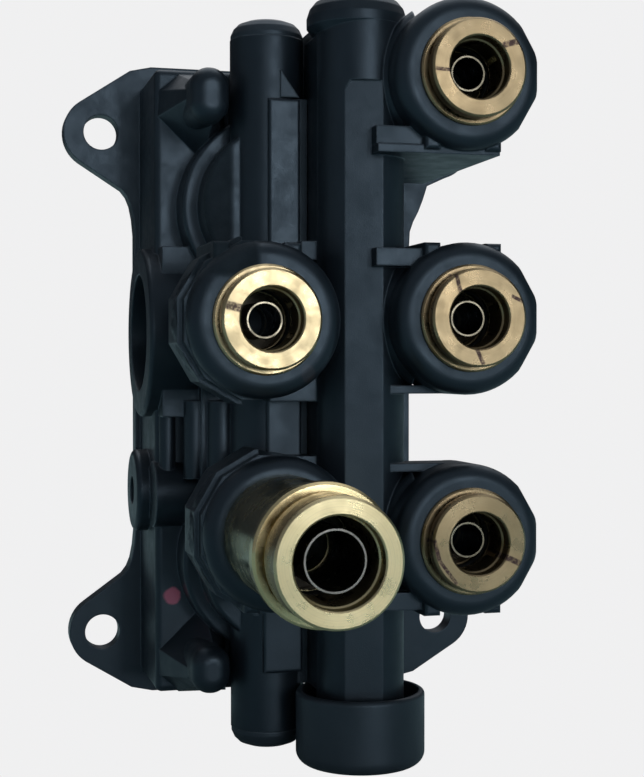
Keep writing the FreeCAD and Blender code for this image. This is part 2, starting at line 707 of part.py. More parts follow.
SHELF_THICK = 1.4
SHELF_INSET = 0.15
SHELF_BACK = 46.5
SHELF_FRONT = 53.0
ARM_HEIGHT = 3.0
ARM_INSET = 0.9
ARM_FRONT = 56.0
ARM_BACK = 44.0
ARM_OVERLAP = 1.0
FOOT_WIDTH = 8.0
FOOT_LENGTH = 6.4
FOOT_REACH = 16.0
FOOT_HALF = 15.0
FOOT_SLOPE = ((0.0, 1.8), (0.4, 1.0))
FOOT_SINK = 0.2
NECK_WEB_FRONT = 50.0
NECK_WEB_HALF = 6.0
FLAT_ROUND = 1.6
FLAT_REACH = 20.0
TAN_15 = 0.26795
for name, x, z, way, inner in RIGHT_PORTS:
    round_boss = boss_round_shape(name, x, z, s.boss_back)
    corner = s.boss_flat * TAN_15
    run = s.boss_flat * 0.5
    slant_x, slant_z = s.boss_flat - run * 0.5, corner + run * 0.866
    edges = [
        (x - FLAT_REACH, z - FLAT_REACH),
        (x + slant_x, z - FLAT_REACH),
        (x + slant_x, z - slant_z),
        (x + s.boss_flat, z - corner),
        (x + s.boss_flat, z + corner),
        (x + slant_x, z + slant_z),
        (x + slant_x, z + FLAT_REACH),
        (x - FLAT_REACH, z + FLAT_REACH),
    ]
    flats = plate(name + "_flats_raw", edges, s.boss_face - s.boss_back, (0, -s.boss_back, 0), TO_REAR)
    right_of = x.number + VALUES["boss_flat"] * 0.6
    face_at = NEAR - VALUES["boss_face"]
    flats = rounded(name + "_flats", flats, FLAT_ROUND,
                    lambda edge: edge.BoundBox.YMax < face_at and edge.CenterOfMass.x > right_of
                    and edge.Length < 12.0)
    outside.append(common(name + "_boss", [round_boss, flats]))
    foot_round = turned(name + "_foot_round", [
        (0, 0),
        (s.boss_foot_radius, 0),
        *[(s.boss_foot_radius - inset, FOOT_LENGTH - below) for inset, below in FOOT_SLOPE],
        (s.boss_radius - FOOT_SINK, FOOT_LENGTH),
        (0, FOOT_LENGTH),
    ], (x, -s.boss_back, z), TO_REAR)
    foot_side = box(name + "_foot_side", FOOT_WIDTH, s.boss_face - s.boss_back, FOOT_HALF * 2,
                    (x - FOOT_REACH, -s.boss_face, z - FOOT_HALF))
    outside.append(common(name + "_foot", [foot_round, foot_side]))
    outside.append(rod(name + "_neck", s.boss_neck_radius, s.boss_back - s.boss_neck_back + SINK,
                       (x, -s.boss_neck_back, z), TO_REAR))
    outside.append(box(name + "_neck_web", x - s.right_barrel_x, NECK_WEB_FRONT - s.boss_neck_back,
                       NECK_WEB_HALF * 2, (s.right_barrel_x, -NECK_WEB_FRONT, z - NECK_WEB_HALF)))
    outside.extend(boss_lugs(name, x, z, way, inner))
    arm_reach = s.lug_reach - ARM_INSET
    arm_low = z + (arm_reach - ARM_HEIGHT) if way == TOP else z - arm_reach
    outside.append(box(name + "_arm", x - inner - s.right_barrel_x + ARM_OVERLAP, ARM_FRONT - ARM_BACK,
                       ARM_HEIGHT, (s.right_barrel_x, -ARM_FRONT, arm_low)))
    if name != "top_right":
        shelf_reach = s.boss_radius - SHELF_INSET
        shelf_low = z - shelf_reach if way == TOP else z + shelf_reach - SHELF_THICK
        outside.append(box(name + "_shelf", x - s.right_barrel_x, SHELF_FRONT - SHELF_BACK, SHELF_THICK,
                           (s.right_barrel_x, -SHELF_FRONT, shelf_low)))
LONG_SHELF_RIGHT = 27.2
LONG_SHELF_FRONT = 57.0
LONG_SHELF_BACK = 17.0
LONG_SHELF_DROP = 0.5
outside.append(box("long_shelf", LONG_SHELF_RIGHT - s.right_barrel_x, LONG_SHELF_FRONT - LONG_SHELF_BACK,
                   SHELF_THICK,
                   (s.right_barrel_x, -LONG_SHELF_FRONT, s.right_top_z - s.boss_radius - LONG_SHELF_DROP)))

SIDES = 12
FLAT_TO_CORNER = 0.9659
HALF_WIDTH = 16.0
LEFT_STEPS = (("collar", s.collar_flat, 3.0, 16.0, 0.0), ("band", s.band_flat, 5.4, 9.0, 3.0))
BOSS_LEDGES = ((4.6, 21.5, 24.7), (10.2, -2.8, 3.0), (10.2, -17.0, -12.2))
LEDGE_RIGHT = -1.6
LEDGE_FRONT = 45.8
LEDGE_DEPTH = 6.0
for name, x, z, way, inner in LEFT_PORTS:
    outside.append(boss_round_shape(name, x, z, s.left_boss_back))
    outside.append(rod(name + "_neck", s.left_neck_radius, s.left_boss_back - s.left_neck_back + SINK,
                       (x, -s.left_neck_back, z), TO_REAR))
    outside.extend(boss_lugs(name, x, z, way, inner))
    for step, flat, front, length, inset in LEFT_STEPS:
        prism = doc.addObject("Part::Prism", "%s_%s_prism" % (name, step))
        prism.Polygon = SIDES
        bind(prism, "Circumradius", flat / FLAT_TO_CORNER)
        bind(prism, "Height", length)
        place(prism, (x, front - s.boss_face, z), TO_FRONT.multiply(Rotation(Vector(0, 0, 1), 15)))
        half = box("%s_%s_half" % (name, step), HALF_WIDTH, length + OVERCUT * 2, HALF_WIDTH * 2,
                   (x - HALF_WIDTH - inset, front - OVERCUT - s.boss_face, z - HALF_WIDTH))
        outside.append(common("%s_%s" % (name, step), [prism, half]))
for i, (left, low, high) in enumerate(BOSS_LEDGES):
    outside.append(box("boss_ledge_%d" % i, left + LEDGE_RIGHT, LEDGE_DEPTH, high - low,
                       (-left, -LEDGE_FRONT, low)))

shell = fuse("body_outside", outside)

# valve body: the holes and bores
DELIVERY_WAY_RADIUS = 1.8
DELIVERY_WAY_X = 3.4
DELIVERY_WAY_LENGTH = 16.0
PILOT_WAY_RADIUS = 0.9
PILOT_WAY_X = -10.3
PILOT_WAY_LENGTH = 23.0
hollows = []
for x_sign in (LEFT, RIGHT):
    for z_sign in (TOP, BOTTOM):
        hollows.append(rod("ear_hole_%d_%d" % (x_sign + 1, z_sign + 1), s.ear_hole_radius,
                           s.flange_thick + OVERCUT * 2,
                           (s.ear_hole_x * x_sign, OVERCUT, s.ear_hole_z * z_sign), TO_REAR))
SCREW_X = 16.5
SCREW_Z = 51.5
SCREW_DEPTH = 22.0
CORE_GAP = 0.02
for x_sign in (LEFT, RIGHT):
    for z_sign in (TOP, BOTTOM):
        hollows.append(rod("screw_core_%d_%d" % (x_sign + 1, z_sign + 1), s.screw_radius + CORE_GAP,
                           SCREW_DEPTH + s.front_pad_rise,
                           (SCREW_X * x_sign, s.front_pad_rise, SCREW_Z * z_sign), TO_REAR))
for side, sign in (("upper", TOP), ("lower", BOTTOM)):
    z = s.plunger_pitch_half * sign
    hollows.append(rod(side + "_guide_bore", s.guide_bore_radius, s.front_pad_rise + s.guide_bore_depth,
                       (0, s.front_pad_rise, z), TO_REAR))
    hollows.append(rod(side + "_valve_bore", s.valve_bore_radius, s.valve_bore_depth, (0, 0, z), TO_REAR))
    hollows.append(rod(side + "_delivery_way", DELIVERY_WAY_RADIUS, DELIVERY_WAY_LENGTH,
                       (DELIVERY_WAY_X, OVERCUT - s.valve_bore_depth, z), TO_REAR))
    hollows.append(rod(side + "_pilot_way", PILOT_WAY_RADIUS, PILOT_WAY_LENGTH,
                       (PILOT_WAY_X, OVERCUT - s.guide_bore_depth, z), TO_REAR))

LEFT_SHOULDER = 8.0
LEFT_WAY_RADIUS = 2.4
FOOT_BORE_DEPTH = 8.0
hollows.append(rod("left_bore", s.left_bore_radius, s.left_barrel_half - LEFT_SHOULDER + OVERCUT,
                   (-s.left_barrel_x, -s.left_barrel_y, LEFT_SHOULDER)))
hollows.append(rod("left_way", LEFT_WAY_RADIUS, s.left_barrel_half + LEFT_SHOULDER + OVERCUT * 2,
                   (-s.left_barrel_x, -s.left_barrel_y, -s.left_barrel_half - OVERCUT)))
hollows.append(rod("left_foot_bore", s.left_bore_radius, FOOT_BORE_DEPTH + OVERCUT,
                   (-s.left_barrel_x, -s.left_barrel_y, -s.left_barrel_half - OVERCUT)))
RIGHT_SHOULDER = 18.0
RIGHT_WAY_TOP = 57.0
RIGHT_WAY_RADIUS = 3.0
hollows.append(rod("right_bore", s.right_bore_radius, s.right_barrel_bottom + RIGHT_SHOULDER + OVERCUT,
                   (s.right_barrel_x, -s.right_barrel_y, -s.right_barrel_bottom - OVERCUT)))
hollows.append(rod("right_way", RIGHT_WAY_RADIUS, RIGHT_WAY_TOP - RIGHT_SHOULDER + OVERCUT,
                   (s.right_barrel_x, -s.right_barrel_y, RIGHT_SHOULDER - OVERCUT)))

WAY_BEHIND = 4.6
WAY_OVERLAP = 0.5
CROSS_WAY_RADIUS = 1.9
CROSS_WAY_OFFSET = 2.6
LEFT_CROSS_WAY_RADIUS = 1.8
SIDE_WAY_RADIUS = 4.0
SIDE_WAY_LENGTH = 14.0
for name, x, z, way, inner in RIGHT_PORTS + LEFT_PORTS:
    hollows.append(rod(name + "_port_bore", s.port_bore_radius, s.port_bore_depth + OVERCUT,
                       (x, -s.boss_face - OVERCUT, z), TO_FRONT))
    hollows.append(rod(name + "_port_way", s.port_way_radius, WAY_BEHIND + WAY_OVERLAP,
                       (x, -s.boss_face + s.port_bore_depth - WAY_OVERLAP, z), TO_FRONT))
for name, x, z, way, inner in RIGHT_PORTS:
    hollows.append(rod(name + "_cross_way", CROSS_WAY_RADIUS, s.right_port_x - s.right_barrel_x,
                       (x, CROSS_WAY_OFFSET - s.right_barrel_y, z), TO_LEFT))
hollows.append(rod("mid_left_cross_way", LEFT_CROSS_WAY_RADIUS, s.left_mid_x - s.left_barrel_x,
                   (-s.left_mid_x, -s.left_barrel_y, s.left_mid_z), TO_RIGHT))
hollows.append(rod("side_port_bore", s.side_port_radius, s.side_port_depth + OVERCUT,
                   (-s.side_port_left + s.side_port_depth, -s.side_port_y, s.side_port_z), TO_LEFT))
hollows.append(rod("side_port_way", SIDE_WAY_RADIUS, SIDE_WAY_LENGTH,
                   (s.side_port_depth + SIDE_WAY_LENGTH - OVERCUT - s.side_port_left,
                    -s.side_port_y, s.side_port_z), TO_LEFT))
hollows.append(rod("pilot_hole", s.pilot_hole_radius, s.pilot_hole_depth + OVERCUT,
                   (s.pilot_hole_depth - s.pilot_port_left, -s.pilot_port_y, -s.pilot_port_z), TO_LEFT))
keep("valve_body", cut("body", shell, hollows))

# front cover and its screws
COVER_INSET = 0.4
cover_half_x = s.front_pad_half_x - COVER_INSET
cover_half_z = s.front_pad_half_z - COVER_INSET
cover_raw = box("cover_raw", cover_half_x * 2, s.cover_thick, cover_half_z * 2,
                (-cover_half_x, s.front_pad_rise, -cover_half_z))
cover_plate = rounded("cover_plate", cover_raw, PAD_CORNER - COVER_INSET, runs_along_y)
COLLAR_RADIUS = 8.6
COLLAR_RISE = 1.2
SCREW_HOLE_GAP = 0.2
cover_outside = [cover_plate]
cover_holes = []
for side, sign in (("upper", TOP), ("lower", BOTTOM)):
    z = s.plunger_pitch_half * sign
    cover_outside.append(rod(side + "_cover_collar", COLLAR_RADIUS, s.cover_thick + COLLAR_RISE,
                             (0, s.front_pad_rise, z), TO_FRONT))
    cover_holes.append(rod(side + "_stem_hole", s.stem_radius + s.running_gap,
                           s.cover_thick + COLLAR_RISE + OVERCUT * 2,
                           (0, s.front_pad_rise - OVERCUT, z), TO_FRONT))
for x_sign in (LEFT, RIGHT):
    for z_sign in (TOP, BOTTOM):
        cover_holes.append(rod("cover_hole_%d_%d" % (x_sign + 1, z_sign + 1), s.screw_radius + SCREW_HOLE_GAP,
                               s.cover_thick + OVERCUT * 2,
                               (SCREW_X * x_sign, s.front_pad_rise - OVERCUT, SCREW_Z * z_sign), TO_FRONT))
keep("front_cover", cut("cover", fuse("cover_outside", cover_outside), cover_holes))

SCREW_LENGTH = 20.0
SCREW_POINT = 0.8
SCREW_POINT_LENGTH = 1.4
HEAD_RADIUS = 3.6
HEAD_HEIGHT = 2.4
HEAD_ROUND = 0.8
RECESS_LENGTH = 4.0
RECESS_WIDTH = 0.9
RECESS_DEPTH = 1.5
screws = []
for x_sign in (LEFT, RIGHT):
    for z_sign in (TOP, BOTTOM):
        name = "screw_%d_%d" % (x_sign + 1, z_sign + 1)
        profile = [
            (0, 0),
            (s.screw_radius - SCREW_POINT, 0),
            (s.screw_radius, SCREW_POINT_LENGTH),
            (s.screw_radius, SCREW_LENGTH + s.cover_thick),
            (HEAD_RADIUS, SCREW_LENGTH + s.cover_thick),
            (HEAD_RADIUS, SCREW_LENGTH + s.cover_thick + HEAD_HEIGHT, HEAD_ROUND),
            (0, SCREW_LENGTH + s.cover_thick + HEAD_HEIGHT),
        ]
        at = (SCREW_X * x_sign, s.front_pad_rise - SCREW_LENGTH, SCREW_Z * z_sign)
        blank = turned(name + "_blank", profile, at, TO_FRONT)
        top = s.front_pad_rise + s.cover_thick + HEAD_HEIGHT
        recess = []
        for angle in (0, 90):
            turn = Rotation(Vector(0, 1, 0), angle)
            corner = turn.multVec(Vector(-RECESS_LENGTH / 2, 0, -RECESS_WIDTH / 2))
            recess.append(box("%s_slot_%d" % (name, angle), RECESS_LENGTH, RECESS_DEPTH + OVERCUT, RECESS_WIDTH,
                              (at[0] + corner.x, top - RECESS_DEPTH, at[2] + corner.z), turn))
        screws.append(cut(name, blank, recess))
keep("cover_screws", group("cover_screw_set", screws))

# plungers with their seals, springs and seats, the same for both knobs
PISTON_REST_GAP = 0.1
PISTON_GROOVE_START = 1.4
GROOVE_RADIUS = 9.4
STUD_RADIUS = 1.5
DISC_THICK = 2.0
SEAT_HEIGHT = 3.0
SPRING_WIRE = 0.6
STEM_END = 33.0
STEM_CHAMFER = 0.6
DISC_INSET = 0.4
SEAT_BORE = 2.2
SEAT_LIP = ((4.4, 1.0), (3.9, 0.0), (3.3, 0.0))
SPRING_MEAN = 9.7
SPRING_TURNS = 3.4
SPRING_END_GAP = 0.03
PIN_AT = 24.6
PIN_HALF = 7.5
PIN_HOLE_HALF = 6.0
for side, sign in (("park", TOP), ("trailer", BOTTOM)):
    z = s.plunger_pitch_half * sign
    tail = s.tail_length + DISC_THICK
    groove = tail + PISTON_GROOVE_START
    front = tail + s.piston_length
    origin_y = s.front_pad_rise - PISTON_REST_GAP - front
    profile = [
        (0, 0),
        (STUD_RADIUS, 0),
        (STUD_RADIUS, DISC_THICK),
        (s.tail_radius, DISC_THICK),
        (s.tail_radius, tail),
        (s.guide_bore_radius - s.running_gap, tail),
        (s.guide_bore_radius - s.running_gap, groove),
        (GROOVE_RADIUS, groove),
        (GROOVE_RADIUS, groove + s.piston_groove),
        (s.guide_bore_radius - s.running_gap, groove + s.piston_groove),
        (s.guide_bore_radius - s.running_gap, front),
        (s.stem_radius, front),
        (s.stem_radius, STEM_END - origin_y - STEM_CHAMFER),
        (s.stem_radius - STEM_CHAMFER, STEM_END - origin_y),
        (0, STEM_END - origin_y),
    ]
    blank = turned(side + "_plunger_blank", profile, (0, origin_y, z), TO_FRONT)
    pin_hole = rod(side + "_plunger_pin_hole", s.knob_pin_radius + s.press_gap, PIN_HOLE_HALF * 2,
                   (-PIN_HOLE_HALF, PIN_AT, z), TO_RIGHT)
    keep(side + "_plunger", cut(side + "_plunger_cut", blank, [pin_hole]))
    seal_radius = (s.guide_bore_radius - s.running_gap + GROOVE_RADIUS) / 2
    keep(side + "_plunger_seal", ring_seal(side + "_seal", seal_radius, s.seal_section,
                                           (0, origin_y + groove + s.piston_groove / 2, z), TO_FRONT))
    disc = [
        (STUD_RADIUS + s.press_gap, 0),
        (s.tail_radius - DISC_INSET, 0),
        (s.tail_radius - DISC_INSET, DISC_THICK, DISC_INSET),
        (STUD_RADIUS + s.press_gap, DISC_THICK),
    ]
    keep(side + "_valve_disc", turned(side + "_disc", disc, (0, origin_y + DISC_THICK, z), TO_REAR))
    seat = [
        (SEAT_BORE, 0),
        (s.valve_bore_radius - s.press_gap, 0),
        (s.valve_bore_radius - s.press_gap, SEAT_HEIGHT - SEAT_LIP[0][1]),
        *[(radius, SEAT_HEIGHT - below) for radius, below in SEAT_LIP],
        (SEAT_BORE, SEAT_HEIGHT - SEAT_LIP[0][1]),
    ]
    keep(side + "_valve_seat", turned(side + "_seat", seat, (0, -s.valve_bore_depth, z), TO_FRONT))
    spring_height = origin_y + tail + s.guide_bore_depth
    keep(side + "_return_spring", coil(side + "_spring", SPRING_MEAN, SPRING_WIRE,
                                       spring_height - SPRING_END_GAP * 2, SPRING_TURNS,
                                       (0, SPRING_END_GAP - s.guide_bore_depth, z), TO_FRONT))
    keep(side + "_knob_pin", rod(side + "_pin", s.knob_pin_radius, PIN_HALF * 2,
                                 (-PIN_HALF, PIN_AT, z), TO_RIGHT))

# knobs: a square one for parking and an eight-sided one for the trailer supply
KNOB_FACE_THICK = 8.0
KNOB_FACE_ROUND = 1.6
KNOB_NECK_RADIUS = 8.2
KNOB_BACK_RADIUS = 12.5
KNOB_NECK_LENGTH = 5.6
KNOB_OVERLAP = 1.0
DISH_FLOOR = 10.0
DISH_RIM = 11.0
DISH_DEPTH = 1.0
DISH_LIP = 0.2
SOCKET_DEPTH = 13.0
KNOB_KINDS = (("park", TOP, 4, 21.5, 45), ("trailer", BOTTOM, 8, 17.6, 22.5))
for side, sign, sides, radius, angle in KNOB_KINDS:
    z = s.plunger_pitch_half * sign
    head = doc.addObject("Part::Prism", side + "_knob_head")
    head.Polygon = sides
    bind(head, "Circumradius", radius)
    bind(head, "Height", KNOB_FACE_THICK)
    place(head, (0, s.knob_start + s.knob_length - KNOB_FACE_THICK, z),
          TO_FRONT.multiply(Rotation(Vector(0, 0, 1), angle)))
    head_round = rounded(side + "_knob_round", head, KNOB_FACE_ROUND, lambda edge: True)
    neck = turned(side + "_knob_neck", [
        (0, 0),
        (KNOB_NECK_RADIUS, 0),
        (KNOB_NECK_RADIUS, KNOB_NECK_LENGTH),
        (KNOB_BACK_RADIUS, s.knob_length - KNOB_FACE_THICK + KNOB_OVERLAP),
        (0, s.knob_length - KNOB_FACE_THICK + KNOB_OVERLAP),
    ], (0, s.knob_start, z), TO_FRONT)
    dish_top = DISH_DEPTH + DISH_LIP
    dish = turned(side + "_knob_dish", [(0, 0), (DISH_FLOOR, 0), (DISH_RIM, dish_top), (0, dish_top)],
                  (0, s.knob_start + s.knob_length - DISH_DEPTH, z), TO_FRONT)
    socket = rod(side + "_knob_socket", s.stem_radius + s.press_gap, SOCKET_DEPTH + OVERCUT,
                 (0, s.knob_start - OVERCUT, z), TO_FRONT)
    cross = rod(side + "_knob_cross", s.knob_pin_radius + s.press_gap, KNOB_NECK_RADIUS * 2 + OVERCUT * 2,
                (-KNOB_NECK_RADIUS - OVERCUT, PIN_AT, z), TO_RIGHT)
    keep(side + "_knob", cut(side + "_knob_cut", fuse(side + "_knob_outside", [head_round, neck]),
                             [dish, socket, cross]))

# push-in fittings
COLLET_SPARE = 0.05
SMALL = {
    "face": s.small_face,
    "floor": 0.0,
    "barrel": s.small_flange_radius,
    "flange": s.small_flange_radius,
    "flange_thick": s.small_flange_thick,
    "flange_top": s.port_bore_depth + s.small_flange_thick,
    "ring": s.small_ring_radius,
    "ring_thick": s.small_ring_thick,
    "bore": s.small_bore_radius,
    "socket": s.small_socket_radius,
    "chamber": s.small_chamber_radius,
    "support": s.small_support_radius,
    "recess": s.small_support_recess,
    "slot_below": 1.8,
    "way": s.small_way_radius,
}
LARGE = {
    "face": s.large_face,
    "floor": s.large_floor,
    "barrel": s.large_barrel_radius,
    "flange": s.large_flange_radius,
    "flange_thick": s.large_flange_thick,
    "flange_top": s.large_face - s.large_ring_thick - s.collet_stroke - COLLET_SPARE,
    "ring": s.large_ring_radius,
    "ring_thick": s.large_ring_thick,
    "bore": s.large_bore_radius,
    "socket": s.large_socket_radius,
    "chamber": s.large_chamber_radius,
    "support": s.large_support_radius,
    "recess": s.large_support_recess,
    "slot_below": 1.6,
    "way": s.large_way_radius,
}
SUPPORT_WALL = 0.32
SLEEVE_WALL = 0.85
BARB_LENGTH = 2.2
MOUTH_LENGTH = 2.2
FINGER_STEP = 0.3
THROAT_GAP = 0.1
SOCKET_FLOOR = 1.6
SEAL_ABOVE_FLOOR = 5.6
SEAL_GROOVE = 2.4
SEAL_GROOVE_DEPTH = 1.5
CHAMBER_WALL = 0.8
CHAMBER_SPARE = 0.3
SHOULDER_BELOW_TOP = 0.8
FLANGE_EDGE = 0.5
CHAMFER = 0.4
RING_SEAT_INSET = 0.6
SUPPORT_FOOT = 0.8
TUBE_SEAL_SECTION = 0.71
TUBE_SEAL_STAND = 0.73
BARB_GAP = 0.05
BARB_STEP = 0.5
BARB_WALL_GAP = 0.15
RING_CHAMFER = 0.35
MOUTH_CHAMFER = 0.25
SLOT_REACH = 10.0
SLOT_ANGLES = (30, 90, 150)


def fitting(name, x, z, kind):
    """One push-in fitting: brass body, release collet, tube support and tube seal."""
    at = (x, -s.boss_face + s.port_bore_depth, z)
    floor = as_size(kind["floor"])
    face = kind["face"]
    top = kind["flange_top"]
    throat_radius = kind["bore"] + SLEEVE_WALL + THROAT_GAP
    seal_start = floor + SEAL_ABOVE_FLOOR
    seal_end = seal_start + SEAL_GROOVE
    chamber_start = seal_end + CHAMBER_WALL
    throat_start = chamber_start + BARB_LENGTH + s.collet_stroke + CHAMBER_SPARE
    groove_radius = kind["socket"] + SEAL_GROOVE_DEPTH
    step = s.port_bore_depth
    profile = [
        (kind["way"], 0),
        (s.port_bore_radius - s.press_gap, 0),
        (s.port_bore_radius - s.press_gap, step),
    ]
    if kind is LARGE:
        shoulder = top - SHOULDER_BELOW_TOP
        profile += [
            (kind["barrel"], step),
            (kind["barrel"], shoulder - kind["flange_thick"] - FLANGE_EDGE),
            (kind["flange"], shoulder - kind["flange_thick"]),
            (kind["flange"], shoulder - CHAMFER),
            (kind["flange"] - CHAMFER, shoulder),
            (kind["ring"] - RING_SEAT_INSET, shoulder),
            (kind["ring"] - RING_SEAT_INSET, top),
        ]
    else:
        profile += [
            (kind["flange"], step),
            (kind["flange"], top - FINGER_STEP),
            (kind["flange"] - FINGER_STEP, top),
        ]
    profile += [
        (throat_radius, top),
        (throat_radius, throat_start),
        (kind["chamber"], throat_start),
        (kind["chamber"], chamber_start),
        (kind["socket"] + FINGER_STEP, chamber_start),
        (kind["socket"] + FINGER_STEP, seal_end),
        (groove_radius, seal_end),
        (groove_radius, seal_start),
        (kind["socket"], seal_start),
        (kind["socket"], floor + SOCKET_FLOOR),
        (kind["way"], floor + SOCKET_FLOOR),
    ]
    keep(name + "_fitting_body", turned(name + "_body", profile, at, TO_REAR))
    support_top = face - kind["recess"]
    foot = floor + SOCKET_FLOOR
    inner = kind["support"] - SUPPORT_WALL
    support = [
        (inner, foot),
        (kind["socket"] - s.press_gap, foot),
        (kind["socket"] - s.press_gap, foot + SUPPORT_FOOT),
        (kind["support"], foot + SUPPORT_FOOT),
        (kind["support"], support_top),
        (inner, support_top),
    ]
    keep(name + "_tube_support", turned(name + "_support", support, at, TO_REAR))
    seal_mean = kind["socket"] + TUBE_SEAL_STAND
    keep(name + "_tube_seal", ring_seal(name + "_seal", seal_mean, TUBE_SEAL_SECTION,
                                        (x, at[1] - seal_start - SEAL_GROOVE / 2, z), TO_REAR))
    sleeve = kind["bore"] + SLEEVE_WALL
    barb_top = throat_start - BARB_GAP
    head = face - kind["ring_thick"]
    collet = [
        (kind["bore"] - FINGER_STEP, barb_top - BARB_LENGTH),
        (kind["chamber"] - BARB_STEP, barb_top - BARB_LENGTH),
        (kind["chamber"] - BARB_WALL_GAP, barb_top - BARB_LENGTH + BARB_STEP),
        (kind["chamber"] - BARB_WALL_GAP, barb_top),
        (sleeve, barb_top),
        (sleeve, head),
        (kind["ring"], head),
        (kind["ring"], face - RING_CHAMFER),
        (kind["ring"] - RING_CHAMFER, face),
        (kind["bore"] + MOUTH_CHAMFER, face),
        (kind["bore"], face - MOUTH_CHAMFER),
        (kind["bore"], face - MOUTH_CHAMFER - MOUTH_LENGTH),
        (kind["bore"] - FINGER_STEP, face - MOUTH_CHAMFER * 2 - MOUTH_LENGTH),
    ]
    blank = turned(name + "_collet_blank", collet, at, TO_REAR)
    slots = []
    slot_top = head - kind["slot_below"]
    slot_length = slot_top - (barb_top - BARB_LENGTH) + OVERCUT
    for angle in SLOT_ANGLES:
        turn = Rotation(Vector(0, 1, 0), angle)
        corner = turn.multVec(Vector(-SLOT_REACH, 0, -VALUES["collet_slot"] / 2))
        slots.append(box("%s_slot_%d" % (name, angle), SLOT_REACH * 2, slot_length, s.collet_slot,
                         (x + corner.x, at[1] - slot_top, z + corner.z), turn))
    keep(name + "_collet", cut(name + "_collet_cut", blank, slots))


for name, x, z, way, inner in RIGHT_PORTS:
    fitting(name, x, z, SMALL)
for name, x, z, way, inner in LEFT_PORTS:
    fitting(name, x, z, LARGE if name == "supply" else SMALL)

# right barrel: double check shuttle, its lower stop sleeve and the end cap
rx, ry = s.right_barrel_x, -s.right_barrel_y
SHUTTLE_LENGTH = 22.0
LAND = 7.0
SHUTTLE_GROOVE = 1.9
WAIST = 2.6
GROOVE_AT = 2.5
RING_FLOOR = 3.8
STOP_GAP = 0.1
SHUTTLE_RING_MEAN = 4.48
SHUTTLE_RING_SECTION = 0.66
SLEEVE_BORE = 3.2
SLEEVE_HOLE_REACH = 8.0
shuttle_low = RIGHT_SHOULDER - s.shuttle_travel - STOP_GAP - SHUTTLE_LENGTH
land_radius = s.right_bore_radius - s.running_gap
shuttle = [
    (0, 0),
    (land_radius, 0),
    (land_radius, GROOVE_AT),
    (RING_FLOOR, GROOVE_AT),
    (RING_FLOOR, GROOVE_AT + SHUTTLE_GROOVE),
    (land_radius, GROOVE_AT + SHUTTLE_GROOVE),
    (land_radius, LAND),
    (WAIST, LAND),
    (WAIST, SHUTTLE_LENGTH - LAND),
    (land_radius, SHUTTLE_LENGTH - LAND),
    (land_radius, SHUTTLE_LENGTH - GROOVE_AT - SHUTTLE_GROOVE),
    (RING_FLOOR, SHUTTLE_LENGTH - GROOVE_AT - SHUTTLE_GROOVE),
    (RING_FLOOR, SHUTTLE_LENGTH - GROOVE_AT),
    (land_radius, SHUTTLE_LENGTH - GROOVE_AT),
    (land_radius, SHUTTLE_LENGTH),
    (0, SHUTTLE_LENGTH),
]
keep("check_shuttle", turned("shuttle", shuttle, (rx, ry, shuttle_low)))
shuttle_rings = []
ring_height = GROOVE_AT + SHUTTLE_GROOVE / 2
for i, height in enumerate((ring_height, SHUTTLE_LENGTH - ring_height)):
    shuttle_rings.append(ring_seal("shuttle_ring_%d" % i, SHUTTLE_RING_MEAN, SHUTTLE_RING_SECTION,
                                   (rx, ry, shuttle_low + height)))
keep("check_shuttle_seals", group("shuttle_ring_set", shuttle_rings))
sleeve_top = shuttle_low - s.shuttle_travel - STOP_GAP
sleeve_length = sleeve_top + s.right_barrel_bottom
stop_sleeve = [
    (SLEEVE_BORE, 0),
    (s.right_bore_radius - s.press_gap, 0),
    (s.right_bore_radius - s.press_gap, sleeve_length),
    (SLEEVE_BORE, sleeve_length),
]
sleeve_solid = turned("stop_sleeve_tube", stop_sleeve, (rx, ry, -s.right_barrel_bottom))
sleeve_hole = rod("stop_sleeve_hole", CROSS_WAY_RADIUS, SLEEVE_HOLE_REACH,
                  (rx + SLEEVE_HOLE_REACH, ry + CROSS_WAY_OFFSET, -s.right_low_z), TO_LEFT)
keep("check_stop_sleeve", cut("stop_sleeve", sleeve_solid, [sleeve_hole]))
CAP_WALL = 1.0
CAP_ROUND = 2.2
CAP_RIM_ROUND = 0.7
CAP_WELL_INSET = 0.4
CAP_SEAL_INNER_GAP = 0.3
CAP_SEAL_OUTER_GAP = 0.06
CAP_SEAL_THICK = 1.2
CAP_SOCKET_GAP = 0.08
CAP_FLOOR = 2.0
CAP_RECESS = 4.2
cap_height = s.cap_bottom - s.cap_top
cap_seat = s.cap_bottom - s.right_barrel_bottom
cap = [
    (0, 0),
    (s.cap_radius, 0, CAP_ROUND),
    (s.cap_radius, cap_height, CAP_RIM_ROUND),
    (s.cap_radius - CAP_WALL, cap_height),
    (s.cap_radius - CAP_WALL, cap_height - CAP_RECESS),
    (s.right_barrel_radius + CAP_SOCKET_GAP, cap_height - CAP_RECESS),
    (s.right_barrel_radius + CAP_SOCKET_GAP, cap_seat),
    (s.right_bore_radius - CAP_WELL_INSET, cap_seat),
    (s.right_bore_radius - CAP_WELL_INSET, cap_seat - CAP_FLOOR),
    (0, cap_seat - CAP_FLOOR),
]
keep("supply_end_cap", turned("end_cap", cap, (rx, ry, -s.cap_bottom)))
keep("end_cap_seal", turned("end_seal", [
    (s.right_barrel_radius + CAP_SEAL_INNER_GAP, 0),
    (s.cap_radius - CAP_WALL - CAP_SEAL_OUTER_GAP, 0),
    (s.cap_radius - CAP_WALL - CAP_SEAL_OUTER_GAP, CAP_SEAL_THICK),
    (s.right_barrel_radius + CAP_SEAL_INNER_GAP, CAP_SEAL_THICK),
], (rx, ry, -s.cap_top - CAP_RECESS)))

